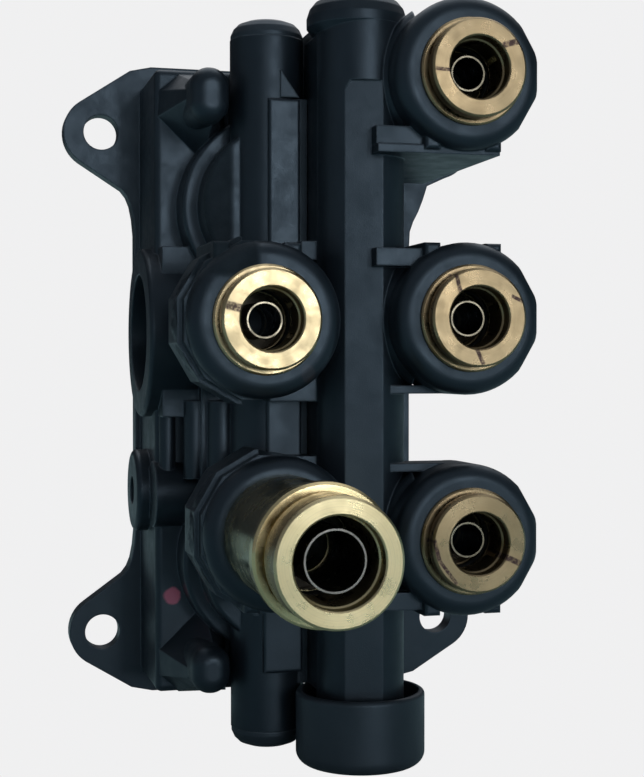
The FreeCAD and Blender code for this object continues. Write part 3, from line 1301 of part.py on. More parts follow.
# left barrel: interlock piston, spring and the two end plugs
lx, ly = -s.left_barrel_x, -s.left_barrel_y
PISTON_LENGTH = 18.0
PISTON_SHOULDER = 12.0
PISTON_GUIDE_RADIUS = 1.9
PISTON_RING_FLOOR = 3.0
PISTON_RING_AT = 3.0
PISTON_RING_GROOVE = 1.7
PISTON_RING_MEAN = 3.57
PISTON_RING_SECTION = 0.56
PISTON_SEAT_GAP = 0.02
piston_radius = s.left_bore_radius - s.running_gap
piston = [
    (0, 0),
    (piston_radius, 0),
    (piston_radius, PISTON_RING_AT),
    (PISTON_RING_FLOOR, PISTON_RING_AT),
    (PISTON_RING_FLOOR, PISTON_RING_AT + PISTON_RING_GROOVE),
    (piston_radius, PISTON_RING_AT + PISTON_RING_GROOVE),
    (piston_radius, PISTON_SHOULDER),
    (PISTON_GUIDE_RADIUS, PISTON_SHOULDER),
    (PISTON_GUIDE_RADIUS, PISTON_LENGTH),
    (0, PISTON_LENGTH),
]
piston_foot = LEFT_SHOULDER + PISTON_SEAT_GAP
keep("interlock_piston", turned("piston", piston, (lx, ly, piston_foot)))
keep("interlock_piston_seal", ring_seal("piston_ring", PISTON_RING_MEAN, PISTON_RING_SECTION,
                                        (lx, ly, piston_foot + PISTON_RING_AT + PISTON_RING_GROOVE / 2)))
PLUG_STEM = 14.0
PLUG_HEAD = 3.2
PLUG_INSET = 0.1
PLUG_CROWN = ((0.0, 2.4), (0.5, 1.3), (1.3, 0.5), (2.6, 0.0))
PLUG_OVERLAP = 0.5
LOWER_STEM = 7.0
PISTON_SPRING_MEAN = 3.0
PISTON_SPRING_WIRE = 0.5
PISTON_SPRING_TURNS = 9.5
spring_foot = piston_foot + PISTON_SHOULDER + SPRING_END_GAP
plug_stem_end = s.left_barrel_half - PLUG_STEM
keep("interlock_spring", coil("piston_spring", PISTON_SPRING_MEAN, PISTON_SPRING_WIRE,
                              plug_stem_end - spring_foot - SPRING_END_GAP, PISTON_SPRING_TURNS,
                              (lx, ly, spring_foot)))
plug_radius = s.left_barrel_radius - PLUG_INSET
plug_profile = [(0, 0), (plug_radius, 0)]
plug_profile += [(plug_radius - inset, PLUG_HEAD - below) for inset, below in PLUG_CROWN]
plug_profile.append((0, PLUG_HEAD))
plug_head = turned("upper_plug_head", plug_profile, (lx, ly, s.left_barrel_half))
plug_stem = rod("upper_plug_stem", s.left_bore_radius - s.press_gap, PLUG_STEM + PLUG_OVERLAP,
                (lx, ly, plug_stem_end))
keep("upper_barrel_plug", fuse("upper_plug", [plug_head, plug_stem]))
lower_head = turned("lower_plug_head", plug_profile, (lx, ly, -s.left_barrel_half), DOWN)
lower_stem = rod("lower_plug_stem", s.left_bore_radius - s.press_gap, LOWER_STEM + PLUG_OVERLAP,
                 (lx, ly, -s.left_barrel_half - PLUG_OVERLAP))
keep("lower_barrel_plug", fuse("lower_plug", [lower_head, lower_stem]))

doc.recompute()
bad = [o.Label for o in doc.Objects if "Invalid" in o.State or "Error" in o.State]
if bad:
    raise RuntimeError("these objects did not build: " + ", ".join(bad))
for label, obj in nodes.items():
    shape = obj.Shape
    if shape.isNull() or not shape.isValid():
        raise RuntimeError("this piece has no valid shape: " + label)

os.makedirs("parts", exist_ok=True)
for label, obj in nodes.items():
    obj.Shape.exportStep("parts/%s.step" % label)
    print(label, len(obj.Shape.Solids), round(obj.Shape.Volume, 1))
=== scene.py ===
import json
import math
import random

import bpy
from mathutils import Matrix, Vector


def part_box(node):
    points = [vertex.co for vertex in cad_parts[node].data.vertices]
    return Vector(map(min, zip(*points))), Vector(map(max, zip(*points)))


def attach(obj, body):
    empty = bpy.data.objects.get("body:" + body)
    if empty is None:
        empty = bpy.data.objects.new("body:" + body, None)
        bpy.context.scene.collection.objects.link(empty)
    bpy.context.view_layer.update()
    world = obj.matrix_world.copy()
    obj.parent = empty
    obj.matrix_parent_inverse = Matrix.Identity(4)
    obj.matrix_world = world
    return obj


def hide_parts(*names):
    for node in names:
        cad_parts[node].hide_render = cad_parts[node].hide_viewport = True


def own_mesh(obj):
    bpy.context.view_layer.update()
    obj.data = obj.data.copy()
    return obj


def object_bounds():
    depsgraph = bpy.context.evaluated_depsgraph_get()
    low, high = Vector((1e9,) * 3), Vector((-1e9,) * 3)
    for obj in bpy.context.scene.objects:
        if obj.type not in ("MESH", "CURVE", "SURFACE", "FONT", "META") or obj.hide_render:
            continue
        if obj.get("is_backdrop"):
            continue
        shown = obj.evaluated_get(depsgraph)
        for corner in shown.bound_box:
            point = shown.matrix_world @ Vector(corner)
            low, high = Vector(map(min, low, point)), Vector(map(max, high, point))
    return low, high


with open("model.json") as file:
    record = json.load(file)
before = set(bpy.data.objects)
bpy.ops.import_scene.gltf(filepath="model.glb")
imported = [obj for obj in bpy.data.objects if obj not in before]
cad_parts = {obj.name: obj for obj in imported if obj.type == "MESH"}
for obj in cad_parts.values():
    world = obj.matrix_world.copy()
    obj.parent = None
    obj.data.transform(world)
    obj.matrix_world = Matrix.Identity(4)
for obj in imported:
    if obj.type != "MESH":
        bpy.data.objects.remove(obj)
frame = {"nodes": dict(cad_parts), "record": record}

random.seed(7)
low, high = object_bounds()
scene = bpy.context.scene
MM = 0.001

# port axes (X, Z)
PORTS = {
    "top_right": (0.0210, 0.0521),
    "mid_right": (0.0210, 0.0112),
    "low_right": (0.0210, -0.02595),
    "mid_left": (-0.0138, 0.0107),
    "supply": (-0.0111, -0.0241),
}

# colours of marks and shadows that the finishes mix in
NYLON_GLOSS_TINT = (0.60, 0.80, 1.0, 1)
# edge colour of the nylon: partly wear, partly a painted highlight
NYLON_WEAR_AND_HIGHLIGHT = (0.105, 0.130, 0.160)
# painted shade for the coarse patch on the upper housing
NYLON_PAINTED_SHADE = (0.004, 0.007, 0.009)
RUBBER_DARK = (0.012, 0.012, 0.013)
RUBBER_DUSTY = (0.035, 0.035, 0.037)
# painted shade deep inside the collet mouths
MOUTH_SHADE_BROWN = (0.060, 0.040, 0.018)
# painted shade on a collet ring's side, in the groove behind its face
RING_SIDE_SHADE_BROWN = (0.135, 0.080, 0.034)
BARREL_OLIVE = (0.200, 0.195, 0.120)
INK_VIOLET = (0.045, 0.022, 0.040)
# painted shade inside the support tubes below their rims
DEPTH_PAINTED_SHADE = (0.012, 0.011, 0.010)
ACETAL_DARK = (0.66, 0.64, 0.58)
ACETAL_PALE = (0.78, 0.77, 0.72)
GREASE = (0.42, 0.36, 0.24)

# a Mix node's colour sockets, by number
MIX_A = 6
MIX_B = 7
MIX_RESULT = 2

# how far from a mark's middle it starts to fade and has gone, in its radii
BLOB_FULL = 1.075
BLOB_GONE = 1.425

# ink reaches back to here on Y
INK_BACK = -0.0560
INK_FADE = 0.4 * MM


def feed(tree, socket, value):
    """Link another node's output to a socket, or set the socket to a plain value."""
    if isinstance(value, bpy.types.NodeSocket):
        tree.links.new(value, socket)
    elif isinstance(value, (tuple, list)) and len(value) == 3 and len(socket.default_value) == 4:
        socket.default_value = (*value, 1)
    else:
        socket.default_value = value


def shade(colour, factor, lift=0.0):
    """A colour made darker or brighter."""
    return tuple(min(1.0, channel * factor + lift) for channel in colour)


class Graph:
    """A material's node tree, with short calls for the nodes that the finishes share."""

    def __init__(self, name):
        self.material = bpy.data.materials.new(name)
        self.material.use_nodes = True
        self.tree = self.material.node_tree
        self.tree.nodes.clear()
        self.shader = self.add("ShaderNodeBsdfPrincipled")
        output = self.add("ShaderNodeOutputMaterial")
        self.tree.links.new(self.shader.outputs[0], output.inputs[0])
        self.place = self.add("ShaderNodeTexCoord").outputs["Object"]
        self.bevel = None

    def add(self, kind, **settings):
        node = self.tree.nodes.new(kind)
        for key, value in settings.items():
            setattr(node, key, value)
        return node

    def feed(self, socket, value):
        feed(self.tree, socket, value)

    def math(self, kind, a, b=0.0, clamp=False):
        node = self.add("ShaderNodeMath", operation=kind, use_clamp=clamp)
        self.feed(node.inputs[0], a)
        self.feed(node.inputs[1], b)
        return node.outputs[0]

    def times(self, first, *others):
        result = first
        for other in others:
            result = self.math("MULTIPLY", result, other)
        return result

    def vector(self, kind, a, b=(0, 0, 0)):
        node = self.add("ShaderNodeVectorMath", operation=kind)
        self.feed(node.inputs[0], a)
        self.feed(node.inputs[1], b)
        return node.outputs["Value"] if kind in ("LENGTH", "DOT_PRODUCT") else node.outputs[0]

    def split(self, vector):
        node = self.add("ShaderNodeSeparateXYZ")
        self.feed(node.inputs[0], vector)
        return node.outputs

    def noise(self, scale, detail=4.0, rough=0.55, stretch=None):
        place = self.place
        if stretch:
            place = self.vector("MULTIPLY", place, stretch)
        node = self.add("ShaderNodeTexNoise")
        self.feed(node.inputs["Vector"], place)
        node.inputs["Scale"].default_value = scale
        node.inputs["Detail"].default_value = detail
        node.inputs["Roughness"].default_value = rough
        return node.outputs[0]

    def step(self, value, start, end, low=0.0, high=1.0):
        """A smooth step from low to high, as the value goes from start to end."""
        node = self.add("ShaderNodeMapRange", interpolation_type="SMOOTHSTEP")
        for socket, item in zip(node.inputs, (value, start, end, low, high)):
            self.feed(socket, item)
        return node.outputs[0]

    def fall(self, value, start, end):
        """A smooth step from one down to nought."""
        return self.step(value, start, end, low=1.0, high=0.0)

    def mix(self, factor, a, b):
        node = self.add("ShaderNodeMix", data_type="RGBA")
        self.feed(node.inputs[0], factor)
        self.feed(node.inputs[MIX_A], a)
        self.feed(node.inputs[MIX_B], b)
        return node.outputs[MIX_RESULT]

    def edges(self, radius, samples=6):
        """How much the surface bends within a radius: one on sharp corners, nought on flats."""
        bevel = self.add("ShaderNodeBevel", samples=samples)
        bevel.inputs["Radius"].default_value = radius
        self.bevel = bevel.outputs[0]
        geometry = self.add("ShaderNodeNewGeometry")
        flat = self.vector("DOT_PRODUCT", self.bevel, geometry.outputs["Normal"])
        return self.math("SUBTRACT", 1.0, flat, clamp=True)

    def bump(self, height, strength, distance, under=None):
        node = self.add("ShaderNodeBump")
        node.inputs["Strength"].default_value = strength
        node.inputs["Distance"].default_value = distance
        self.feed(node.inputs["Height"], height)
        if under is not None:
            self.feed(node.inputs["Normal"], under)
        elif self.bevel is not None:
            self.feed(node.inputs["Normal"], self.bevel)
        return node.outputs[0]

    def blob(self, centre, radii):
        """One inside an ellipsoid round a point, fading to nought at its edge."""
        away = self.vector("SUBTRACT", self.place, centre)
        away = self.vector("DIVIDE", away, radii)
        wobble = self.noise(scale=900.0, detail=3.0)
        length = self.math("ADD", self.vector("LENGTH", away), self.times(wobble, 0.5))
        return self.fall(length, BLOB_FULL, BLOB_GONE)

    def stroke(self, start, end, width):
        """One along a short stroke between two (x, z) points, broken up like dry ink."""
        (x1, z1), (x2, z2) = start, end
        length = math.hypot(x2 - x1, z2 - z1)
        ux, uz = (x2 - x1) / length, (z2 - z1) / length
        away = self.vector("SUBTRACT", self.place, ((x1 + x2) / 2, 0.0, (z1 + z2) / 2))
        along = self.math("ABSOLUTE", self.vector("DOT_PRODUCT", away, (ux, 0.0, uz)))
        across = self.math("ABSOLUTE", self.vector("DOT_PRODUCT", away, (-uz, 0.0, ux)))
        streak = self.noise(scale=1500.0, detail=5.0, rough=0.7)
        along = self.fall(along, length * 0.42, length * 0.56)
        across = self.fall(across, width * 0.34, width * 0.62)
        dry = self.step(streak, 0.36, 0.56, low=0.35)
        front = self.fall(self.split(self.place)[1], INK_BACK, INK_BACK + INK_FADE)
        return self.times(along, across, dry, front)

    def finish(self, colour, rough, normal, metal=0.0, ior=None, coat=None):
        self.feed(self.shader.inputs["Base Color"], colour)
        self.feed(self.shader.inputs["Roughness"], rough)
        self.feed(self.shader.inputs["Normal"], normal)
        self.shader.inputs["Metallic"].default_value = metal
        if ior is not None:
            self.shader.inputs["IOR"].default_value = ior
        if coat is not None:
            self.shader.inputs["Coat Weight"].default_value = coat
        return self.material


def nylon(name, dark, lit, rough=(0.32, 0.46), marks=(), patch=None):
    """Glass filled nylon: cloudy dark blue-grey, polished on its edges and paler there from wear and a
    painted highlight, with a fine grain and, where a patch is given, a coarse patch of painted shade.
    """
    g = Graph(name)
    g.shader.inputs["Specular Tint"].default_value = NYLON_GLOSS_TINT
    edge = g.edges(0.42 * MM)
    cloud = g.noise(scale=55.0, detail=5.0, rough=0.6)
    flow = g.noise(scale=120.0, rough=0.6, stretch=(1.0, 1.0, 0.25))
    speck = g.noise(scale=2600.0, detail=2.0, rough=0.6)
    colour = g.mix(g.step(cloud, 0.34, 0.68), dark, lit)
    colour = g.mix(g.step(flow, 0.52, 0.72, high=0.35), colour, shade(lit, 1.5))
    colour = g.mix(g.step(speck, 0.62, 0.80, high=0.22), colour, shade(lit, 2.1))
    # Paler edges: partly wear, partly a painted highlight where the edges catch light.
    wear_and_highlight = g.times(g.step(edge, 0.012, 0.16), g.step(g.noise(scale=420.0), 0.30, 0.62, low=0.35))
    colour = g.mix(g.times(wear_and_highlight, 0.85), colour, NYLON_WEAR_AND_HIGHLIGHT)
    for centre, radii, mark, strength in marks:
        colour = g.mix(g.times(g.blob(centre, radii), strength), colour, mark)
    gloss = g.step(g.noise(scale=210.0, detail=5.0, rough=0.65), 0.3, 0.7, *rough)
    gloss = g.math("SUBTRACT", gloss, g.times(wear_and_highlight, 0.08))
    grain = g.noise(scale=5200.0, detail=3.0, rough=0.6)
    swell = g.noise(scale=160.0, detail=3.0, rough=0.5)
    # A coarse patch: rougher and grainier, and darkened towards near black as painted shade.
    if patch:
        x, y, z = g.split(g.place)
        x_edge, y_edge, z_low, z_high = patch
        inside = g.times(g.fall(x, x_edge - 1.2 * MM, x_edge), g.fall(y, y_edge, y_edge + 0.3 * MM),
                         g.step(z, z_low, z_low + 1.5 * MM), g.fall(z, z_high - 1.5 * MM, z_high))
        coarse = g.noise(scale=700.0, detail=5.0, rough=0.75)
        gloss = g.math("ADD", gloss, g.times(inside, 0.42), clamp=True)
        colour = g.mix(g.times(inside, 0.6), colour, NYLON_PAINTED_SHADE)
        grain = g.math("ADD", grain, g.times(coarse, inside, 6.0))
    normal = g.bump(grain, strength=0.40, distance=0.05 * MM)
    normal = g.bump(swell, strength=0.35, distance=0.10 * MM, under=normal)
    return g.finish(colour, gloss, normal, ior=1.6)


def rubber(name):
    """Black rubber with a little dust."""
    g = Graph(name)
    dust = g.noise(scale=900.0, detail=5.0, rough=0.7)
    colour = g.mix(g.step(dust, 0.45, 0.75), RUBBER_DARK, RUBBER_DUSTY)
    normal = g.bump(g.noise(scale=3800.0, detail=3.0), strength=0.25, distance=0.04 * MM)
    return g.finish(colour, g.step(dust, 0.3, 0.7, low=0.48, high=0.68), normal, ior=1.5)


def turned_brass(name, axis, base, dark, marks=(), rough=(0.24, 0.40), mouth=None, side=None, barrel_y=None):
    """Turned brass: rings left by the tool round the port's axis, tarnish, handling and ink marks, with
    painted shade inside the mouth and on the ring's side.
    """
    g = Graph(name)
    edge = g.edges(0.16 * MM, samples=4)
    away = g.vector("SUBTRACT", g.place, (axis[0], 0.0, axis[1]))
    flat = g.vector("MULTIPLY", away, (1.0, 0.0, 1.0))
    radius = g.vector("LENGTH", flat)
    along = g.split(g.place)[1]
    around = g.math("ADD", radius, g.times(along, 0.7))
    turning = g.add("ShaderNodeTexNoise", noise_dimensions="1D")
    g.feed(turning.inputs["W"], g.times(around, 5200.0))
    turning.inputs["Scale"].default_value = 1.0
    turning.inputs["Detail"].default_value = 3.0
    rings = turning.outputs[0]
    cloud = g.noise(scale=160.0, detail=5.0, rough=0.65)
    fine = g.noise(scale=1500.0, rough=0.6)
    colour = g.mix(g.step(cloud, 0.36, 0.70, high=0.35), base, dark)
    colour = g.mix(g.step(rings, 0.42, 0.66, high=0.30), colour, shade(base, 0.72))
    colour = g.mix(g.step(fine, 0.60, 0.78, high=0.30), colour, shade(dark, 0.55))
    colour = g.mix(g.step(edge, 0.03, 0.22, high=0.6), colour, shade(base, 1.25))
    if mouth:
        face_y, bore = mouth
        # Painted shade: darker brown deep inside the mouth.
        inside = g.times(g.step(along, face_y + 2.6 * MM, face_y + 5.0 * MM),
                         g.fall(radius, bore + 0.2 * MM, bore + 0.6 * MM))
        colour = g.mix(g.times(inside, 0.25), colour, MOUTH_SHADE_BROWN)
    if side:
        face_y, ring = side
        # Painted shade: the ring's side, behind its face, turns dark brown.
        shaded_ring_side = g.times(g.step(along, face_y + 0.4 * MM, face_y + 0.8 * MM),
                         g.step(radius, ring - 0.9 * MM, ring - 0.3 * MM))
        colour = g.mix(g.times(shaded_ring_side, 0.78), colour, RING_SIDE_SHADE_BROWN)
    if barrel_y is not None:
        # Darker olive from the barrel front back, behind the flange.
        behind = g.step(along, barrel_y - 0.1 * MM, barrel_y + 0.1 * MM, high=0.62)
        colour = g.mix(behind, colour, BARREL_OLIVE)
    gloss = g.step(g.noise(scale=330.0), 0.3, 0.7, *rough)
    for start, end, width in marks:
        ink = g.stroke(start, end, width)
        colour = g.mix(g.times(ink, 0.85), colour, INK_VIOLET)
        gloss = g.math("ADD", gloss, g.times(ink, 0.2))
    normal = g.bump(rings, strength=0.28, distance=0.025 * MM)
    normal = g.bump(fine, strength=0.12, distance=0.02 * MM, under=normal)
    grooves = g.vector("ADD", g.vector("NORMALIZE", flat), (0.0, 0.05, 0.0))
    g.feed(g.shader.inputs["Tangent"], grooves)
    g.shader.inputs["Anisotropic"].default_value = 0.30
    return g.finish(colour, gloss, normal, metal=1.0)


def plated(name, base, dark, scratch=None, rim_y=None):
    """Zinc plated or drawn steel: drawn along one direction, a little cloudy, with painted shade below its
    rim where one is given.
    """
    g = Graph(name)
    g.edges(0.10 * MM, samples=4)
    cloud = g.noise(scale=420.0, detail=5.0, rough=0.6)
    drawn = g.noise(scale=2400.0, detail=3.0, rough=0.6, stretch=scratch)
    colour = g.mix(g.step(cloud, 0.35, 0.7, high=0.8), base, dark)
    colour = g.mix(g.step(drawn, 0.5, 0.75, high=0.4), colour, shade(base, 0.6))
    if rim_y is not None:
        # Painted shade: darker the deeper below the rim.
        painted_depth_shade = g.step(g.split(g.place)[1], rim_y + 0.05 * MM, rim_y + 1.2 * MM, high=0.92)
        colour = g.mix(painted_depth_shade, colour, DEPTH_PAINTED_SHADE)
    normal = g.bump(drawn, strength=0.25, distance=0.02 * MM)
    return g.finish(colour, g.step(cloud, 0.3, 0.7, low=0.22, high=0.40), normal, metal=1.0)


def knob_plastic(name, base, deep):
    """Glossy moulded plastic, deeper in places and paler on its edges."""
    g = Graph(name)
    edge = g.edges(0.35 * MM)
    cloud = g.noise(scale=70.0)
    speck = g.noise(scale=1600.0, rough=0.7)
    colour = g.mix(g.step(cloud, 0.35, 0.7, high=0.5), base, deep)
    colour = g.mix(g.step(speck, 0.62, 0.8, high=0.35), colour, shade(deep, 0.6))
    colour = g.mix(g.step(edge, 0.03, 0.2, high=0.45), colour, shade(base, 1.2, lift=0.06))
    normal = g.bump(g.noise(scale=2800.0, detail=3.0), strength=0.18, distance=0.04 * MM)
    gloss = g.step(g.noise(scale=240.0, detail=5.0), 0.3, 0.7, low=0.20, high=0.36)
    return g.finish(colour, gloss, normal, ior=1.5, coat=0.25)


def acetal(name):
    """Off-white acetal with smears of grease."""
    g = Graph(name)
    g.edges(0.2 * MM)
    cloud = g.noise(scale=150.0)
    colour = g.mix(g.step(cloud, 0.35, 0.7), ACETAL_DARK, ACETAL_PALE)
    grease = g.step(g.noise(scale=260.0, detail=5.0, rough=0.7), 0.55, 0.75, high=0.35)
    colour = g.mix(grease, colour, GREASE)
    normal = g.bump(g.noise(scale=2200.0, detail=3.0), strength=0.15, distance=0.04 * MM)
    return g.finish(colour, g.step(cloud, 0.3, 0.7, low=0.26, high=0.42), normal, ior=1.48)


# marks on the body: centre, radii, colour and strength of a paint dot, a reddish band that is partly a
# painted highlight, and a stain
BODY_MARKS = (
    ((-0.0236, -0.0240, -0.0388), (0.0015, 0.0012, 0.0015), (0.62, 0.130, 0.210), 0.95),
    ((-0.0182, -0.0312, -0.0350), (0.0010, 0.0020, 0.0038), (0.085, 0.030, 0.036), 0.55),
    ((-0.0071, -0.0592, 0.0022), (0.0014, 0.0014, 0.0016), (0.050, 0.036, 0.038), 0.50),
)
# the coarse patch on the upper housing, rougher and darkened as painted shade: the X and Y it ends at, its
# lowest and highest Z
COARSE_SHADED_PATCH = (-0.0145, -0.0372, 0.0170, 0.0470)
DRAWN_ALONG_Y = (1.0, 0.08, 1.0)
SMALL_SUPPORT_RIM = -0.05825
LARGE_SUPPORT_RIM = -0.0916
CENTRE = (0.0, 0.0)
finishes = {
    "body_nylon": nylon("body_nylon", (0.0075, 0.0110, 0.0155), (0.0115, 0.0165, 0.0230),
                        marks=BODY_MARKS, patch=COARSE_SHADED_PATCH),
    "cover_nylon": nylon("cover_nylon", (0.0120, 0.0170, 0.0235), (0.0175, 0.0245, 0.0330)),
    # the cap's nylon is a paler copy of the body's, as painted light for the broad light on its front
    "cap_nylon": nylon("cap_nylon", (0.0180, 0.0240, 0.0310), (0.0250, 0.0330, 0.0425), rough=(0.36, 0.46)),
    "zinc_steel": plated("zinc_steel", (0.56, 0.56, 0.54), (0.38, 0.38, 0.36)),
    "plunger_acetal": acetal("plunger_acetal"),
    "seal_rubber": rubber("seal_rubber"),
    "spring_steel": plated("spring_steel", (0.50, 0.50, 0.50), (0.30, 0.29, 0.28)),
    "support_metal": plated("support_metal", (0.27, 0.245, 0.185), (0.17, 0.155, 0.115),
                            scratch=DRAWN_ALONG_Y, rim_y=SMALL_SUPPORT_RIM),
    "support_metal_large": plated("support_metal_large", (0.27, 0.26, 0.245), (0.17, 0.165, 0.15),
                                  scratch=DRAWN_ALONG_Y, rim_y=LARGE_SUPPORT_RIM),
    "insert_brass": turned_brass("insert_brass", CENTRE, (0.60, 0.46, 0.24), (0.40, 0.28, 0.13)),
    "park_knob_yellow": knob_plastic("park_knob_yellow", (0.80, 0.54, 0.03), (0.66, 0.40, 0.02)),
    "trailer_knob_red": knob_plastic("trailer_knob_red", (0.56, 0.030, 0.022), (0.40, 0.018, 0.015)),
}

# ink marks on the collets: start, end and width, in the port plane
INK = {
    "mid_left": (
        ((-0.02130, 0.01290), (-0.01850, 0.01225), 0.0013),
    ),
    "top_right": (
        ((0.01330, 0.05150), (0.01640, 0.05130), 0.0006),
        ((0.02480, 0.05580), (0.02860, 0.05690), 0.0010),
    ),
    "mid_right": (
        ((0.01680, 0.01840), (0.01760, 0.01520), 0.0007),
        ((0.02040, 0.00600), (0.02160, 0.00350), 0.0007),
        ((0.02650, 0.01480), (0.02860, 0.01380), 0.0006),
    ),
    "low_right": (
        ((0.02480, -0.02790), (0.02830, -0.02950), 0.0010),
        ((0.01310, -0.02500), (0.01400, -0.02850), 0.0007),
        ((0.01400, -0.02850), (0.01700, -0.03240), 0.0006),
    ),
    "supply": (),
}
# brass colours: clean and tarnished
SMALL_BRASS = ((0.36, 0.278, 0.165), (0.245, 0.172, 0.088))
PALE_BRASS = ((0.54, 0.440, 0.265), (0.40, 0.305, 0.165))
LARGE_BRASS = ((0.74, 0.63, 0.38), (0.56, 0.45, 0.24))
OLIVE_BRASS = ((0.84, 0.70, 0.40), (0.60, 0.47, 0.23))
# Y of a collet's face, radius of its mouth and of its ring
SMALL_COLLET = (-0.0641, 0.00515, 0.00815)
LARGE_COLLET = (-0.0942, 0.0067, 0.00945)
BARREL_FRONT = -0.0838
SMALL_SHELL_ROUGH = (0.22, 0.38)
LARGE_SHELL_ROUGH = (0.16, 0.30)


def dress(node, material):
    """Give a node its finish."""
    mesh = frame["nodes"][node].data
    mesh.materials.clear()
    mesh.materials.append(material)


for port, axis in PORTS.items():
    large = port == "supply"
    collet_tone = {"mid_left": PALE_BRASS, "supply": LARGE_BRASS}.get(port, SMALL_BRASS)
    shell_tone = OLIVE_BRASS if large else collet_tone
    face_y, bore, ring = LARGE_COLLET if large else SMALL_COLLET
    collet = turned_brass("collet_brass_" + port, axis, *collet_tone, marks=INK[port],
                          mouth=(face_y, bore), side=(face_y, ring))
    shell = turned_brass("fitting_brass_" + port, axis, *shell_tone, marks=INK[port],
                         rough=LARGE_SHELL_ROUGH if large else SMALL_SHELL_ROUGH,
                         mouth=(face_y, bore), barrel_y=BARREL_FRONT if large else None)
    dress(port + "_collet", collet)
    dress(port + "_fitting_body", shell)

slots = {item["node"]: item["material_slot"] for item in frame["record"]["subparts"]}
for node in frame["nodes"]:
    if not node.endswith(("_collet", "_fitting_body")):
        dress(node, finishes["support_metal_large" if node == "supply_tube_support" else slots[node]])


def new_piece(name, vertices, faces, material, body):
    """A smooth mesh piece that rides on a body."""
    mesh = bpy.data.meshes.new(name)
    mesh.from_pydata(vertices, [], faces)
    mesh.update()
    for polygon in mesh.polygons:
        polygon.use_smooth = True
    obj = bpy.data.objects.new(name, mesh)
    scene.collection.objects.link(obj)
    mesh.materials.append(material)
    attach(obj, body)
    return obj


# rough beads round the root of two port bosses
BEAD_ROWS = 14
BEAD_COLUMNS = 72
BEAD_RADIUS = 13.95 * MM
BEAD_FRONT = 54.5 * MM
BEAD_BACK = 50.0 * MM
BEAD_SWELL = 0.28 * MM
BEAD_SINK = 0.12 * MM
BEAD_WAVE = 0.10 * MM
BEAD_RAGGED = (-0.10, 0.16)
WAVES_ROUND = 23.0
WAVES_ACROSS = 5.0


def flash_bead(name, axis, start, end):
    """The rough bead that a weld squeezes out round a boss: an uneven strip with torn lips."""
    vertices = []
    for i in range(BEAD_COLUMNS + 1):
        share = i / BEAD_COLUMNS
        angle = math.radians(start + (end - start) * share)
        taper = math.sin(math.pi * share) ** 0.5
        for j in range(BEAD_ROWS + 1):
            across = j / BEAD_ROWS
            y = BEAD_FRONT + (BEAD_BACK - BEAD_FRONT) * across
            swell = math.sin(math.pi * across)
            ragged = random.uniform(*BEAD_RAGGED) * MM * swell
            wave = BEAD_WAVE * math.sin(angle * WAVES_ROUND + across * WAVES_ACROSS) * swell
            out = BEAD_RADIUS + (BEAD_SWELL * swell + ragged + wave) * taper - BEAD_SINK
            vertices.append((axis[0] + out * math.cos(angle), -y, axis[1] + out * math.sin(angle)))
    faces = []
    for i in range(BEAD_COLUMNS):
        for j in range(BEAD_ROWS):
            a = i * (BEAD_ROWS + 1) + j
            faces.append((a, a + 1, a + BEAD_ROWS + 2, a + BEAD_ROWS + 1))
    new_piece(name, vertices, faces, finishes["body_nylon"], "housing")


flash_bead("weld_bead_mid_left", PORTS["mid_left"], 128.0, 238.0)
flash_bead("weld_bead_supply", PORTS["supply"], 118.0, 232.0)

# coil springs in place of the spring nodes
ALONG_Y = 1
ALONG_Z = 2
WIRE_SIDES = 12
STEPS_A_TURN = 40
RETURN_TURNS = 3.4
RETURN_WIRE = 0.6 * MM
PISTON_TURNS = 9.5
PISTON_WIRE = 0.5 * MM


def coil_spring(node, along, anchor_high, turns, wire):
    """A coil spring in its node's place, with the node hidden."""
    low_end, high_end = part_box(node)
    middle = [(a + b) / 2 for a, b in zip(low_end, high_end)]
    u, v = [i for i in range(3) if i != along]
    mean = (high_end[u] - low_end[u]) / 2 - wire
    length = high_end[along] - low_end[along]
    steps = round(turns * STEPS_A_TURN)
    vertices = []
    for i in range(steps + 1):
        turn = 2 * math.pi * turns * i / steps
        rise = low_end[along] + wire + (length - 2 * wire) * i / steps
        for j in range(WIRE_SIDES):
            angle = 2 * math.pi * j / WIRE_SIDES
            out = mean + wire * math.cos(angle)
            point = [0.0, 0.0, 0.0]
            point[u] = middle[u] + out * math.cos(turn)
            point[v] = middle[v] + out * math.sin(turn)
            point[along] = rise + wire * math.sin(angle)
            vertices.append(tuple(point))
    last = steps * WIRE_SIDES
    faces = [tuple(range(WIRE_SIDES)), tuple(range(last + WIRE_SIDES - 1, last - 1, -1))]
    for i in range(steps):
        here, there = i * WIRE_SIDES, (i + 1) * WIRE_SIDES
        for j in range(WIRE_SIDES):
            k = (j + 1) % WIRE_SIDES
            faces.append((here + j, there + j, there + k, here + k))
    if along == ALONG_Y:
        faces = [face[::-1] for face in faces]
    obj = new_piece(node + "_coil", vertices, faces, finishes["spring_steel"], "housing")
    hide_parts(node)
    anchor = list(middle)
    anchor[along] = high_end[along] if anchor_high else low_end[along]
    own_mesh(obj)


coil_spring("park_return_spring", ALONG_Y, False, RETURN_TURNS, RETURN_WIRE)
coil_spring("trailer_return_spring", ALONG_Y, False, RETURN_TURNS,
            RETURN_WIRE)
coil_spring("interlock_spring", ALONG_Z, True, PISTON_TURNS,
            PISTON_WIRE)


def pick(tree, when, otherwise, then):
    """One shader where a Light Path output is one, and another where it is nought."""
    node = tree.nodes.new("ShaderNodeMixShader")
    for socket, value in zip(node.inputs, (when, otherwise, then)):
        tree.links.new(value, socket)
    return node.outputs[0]


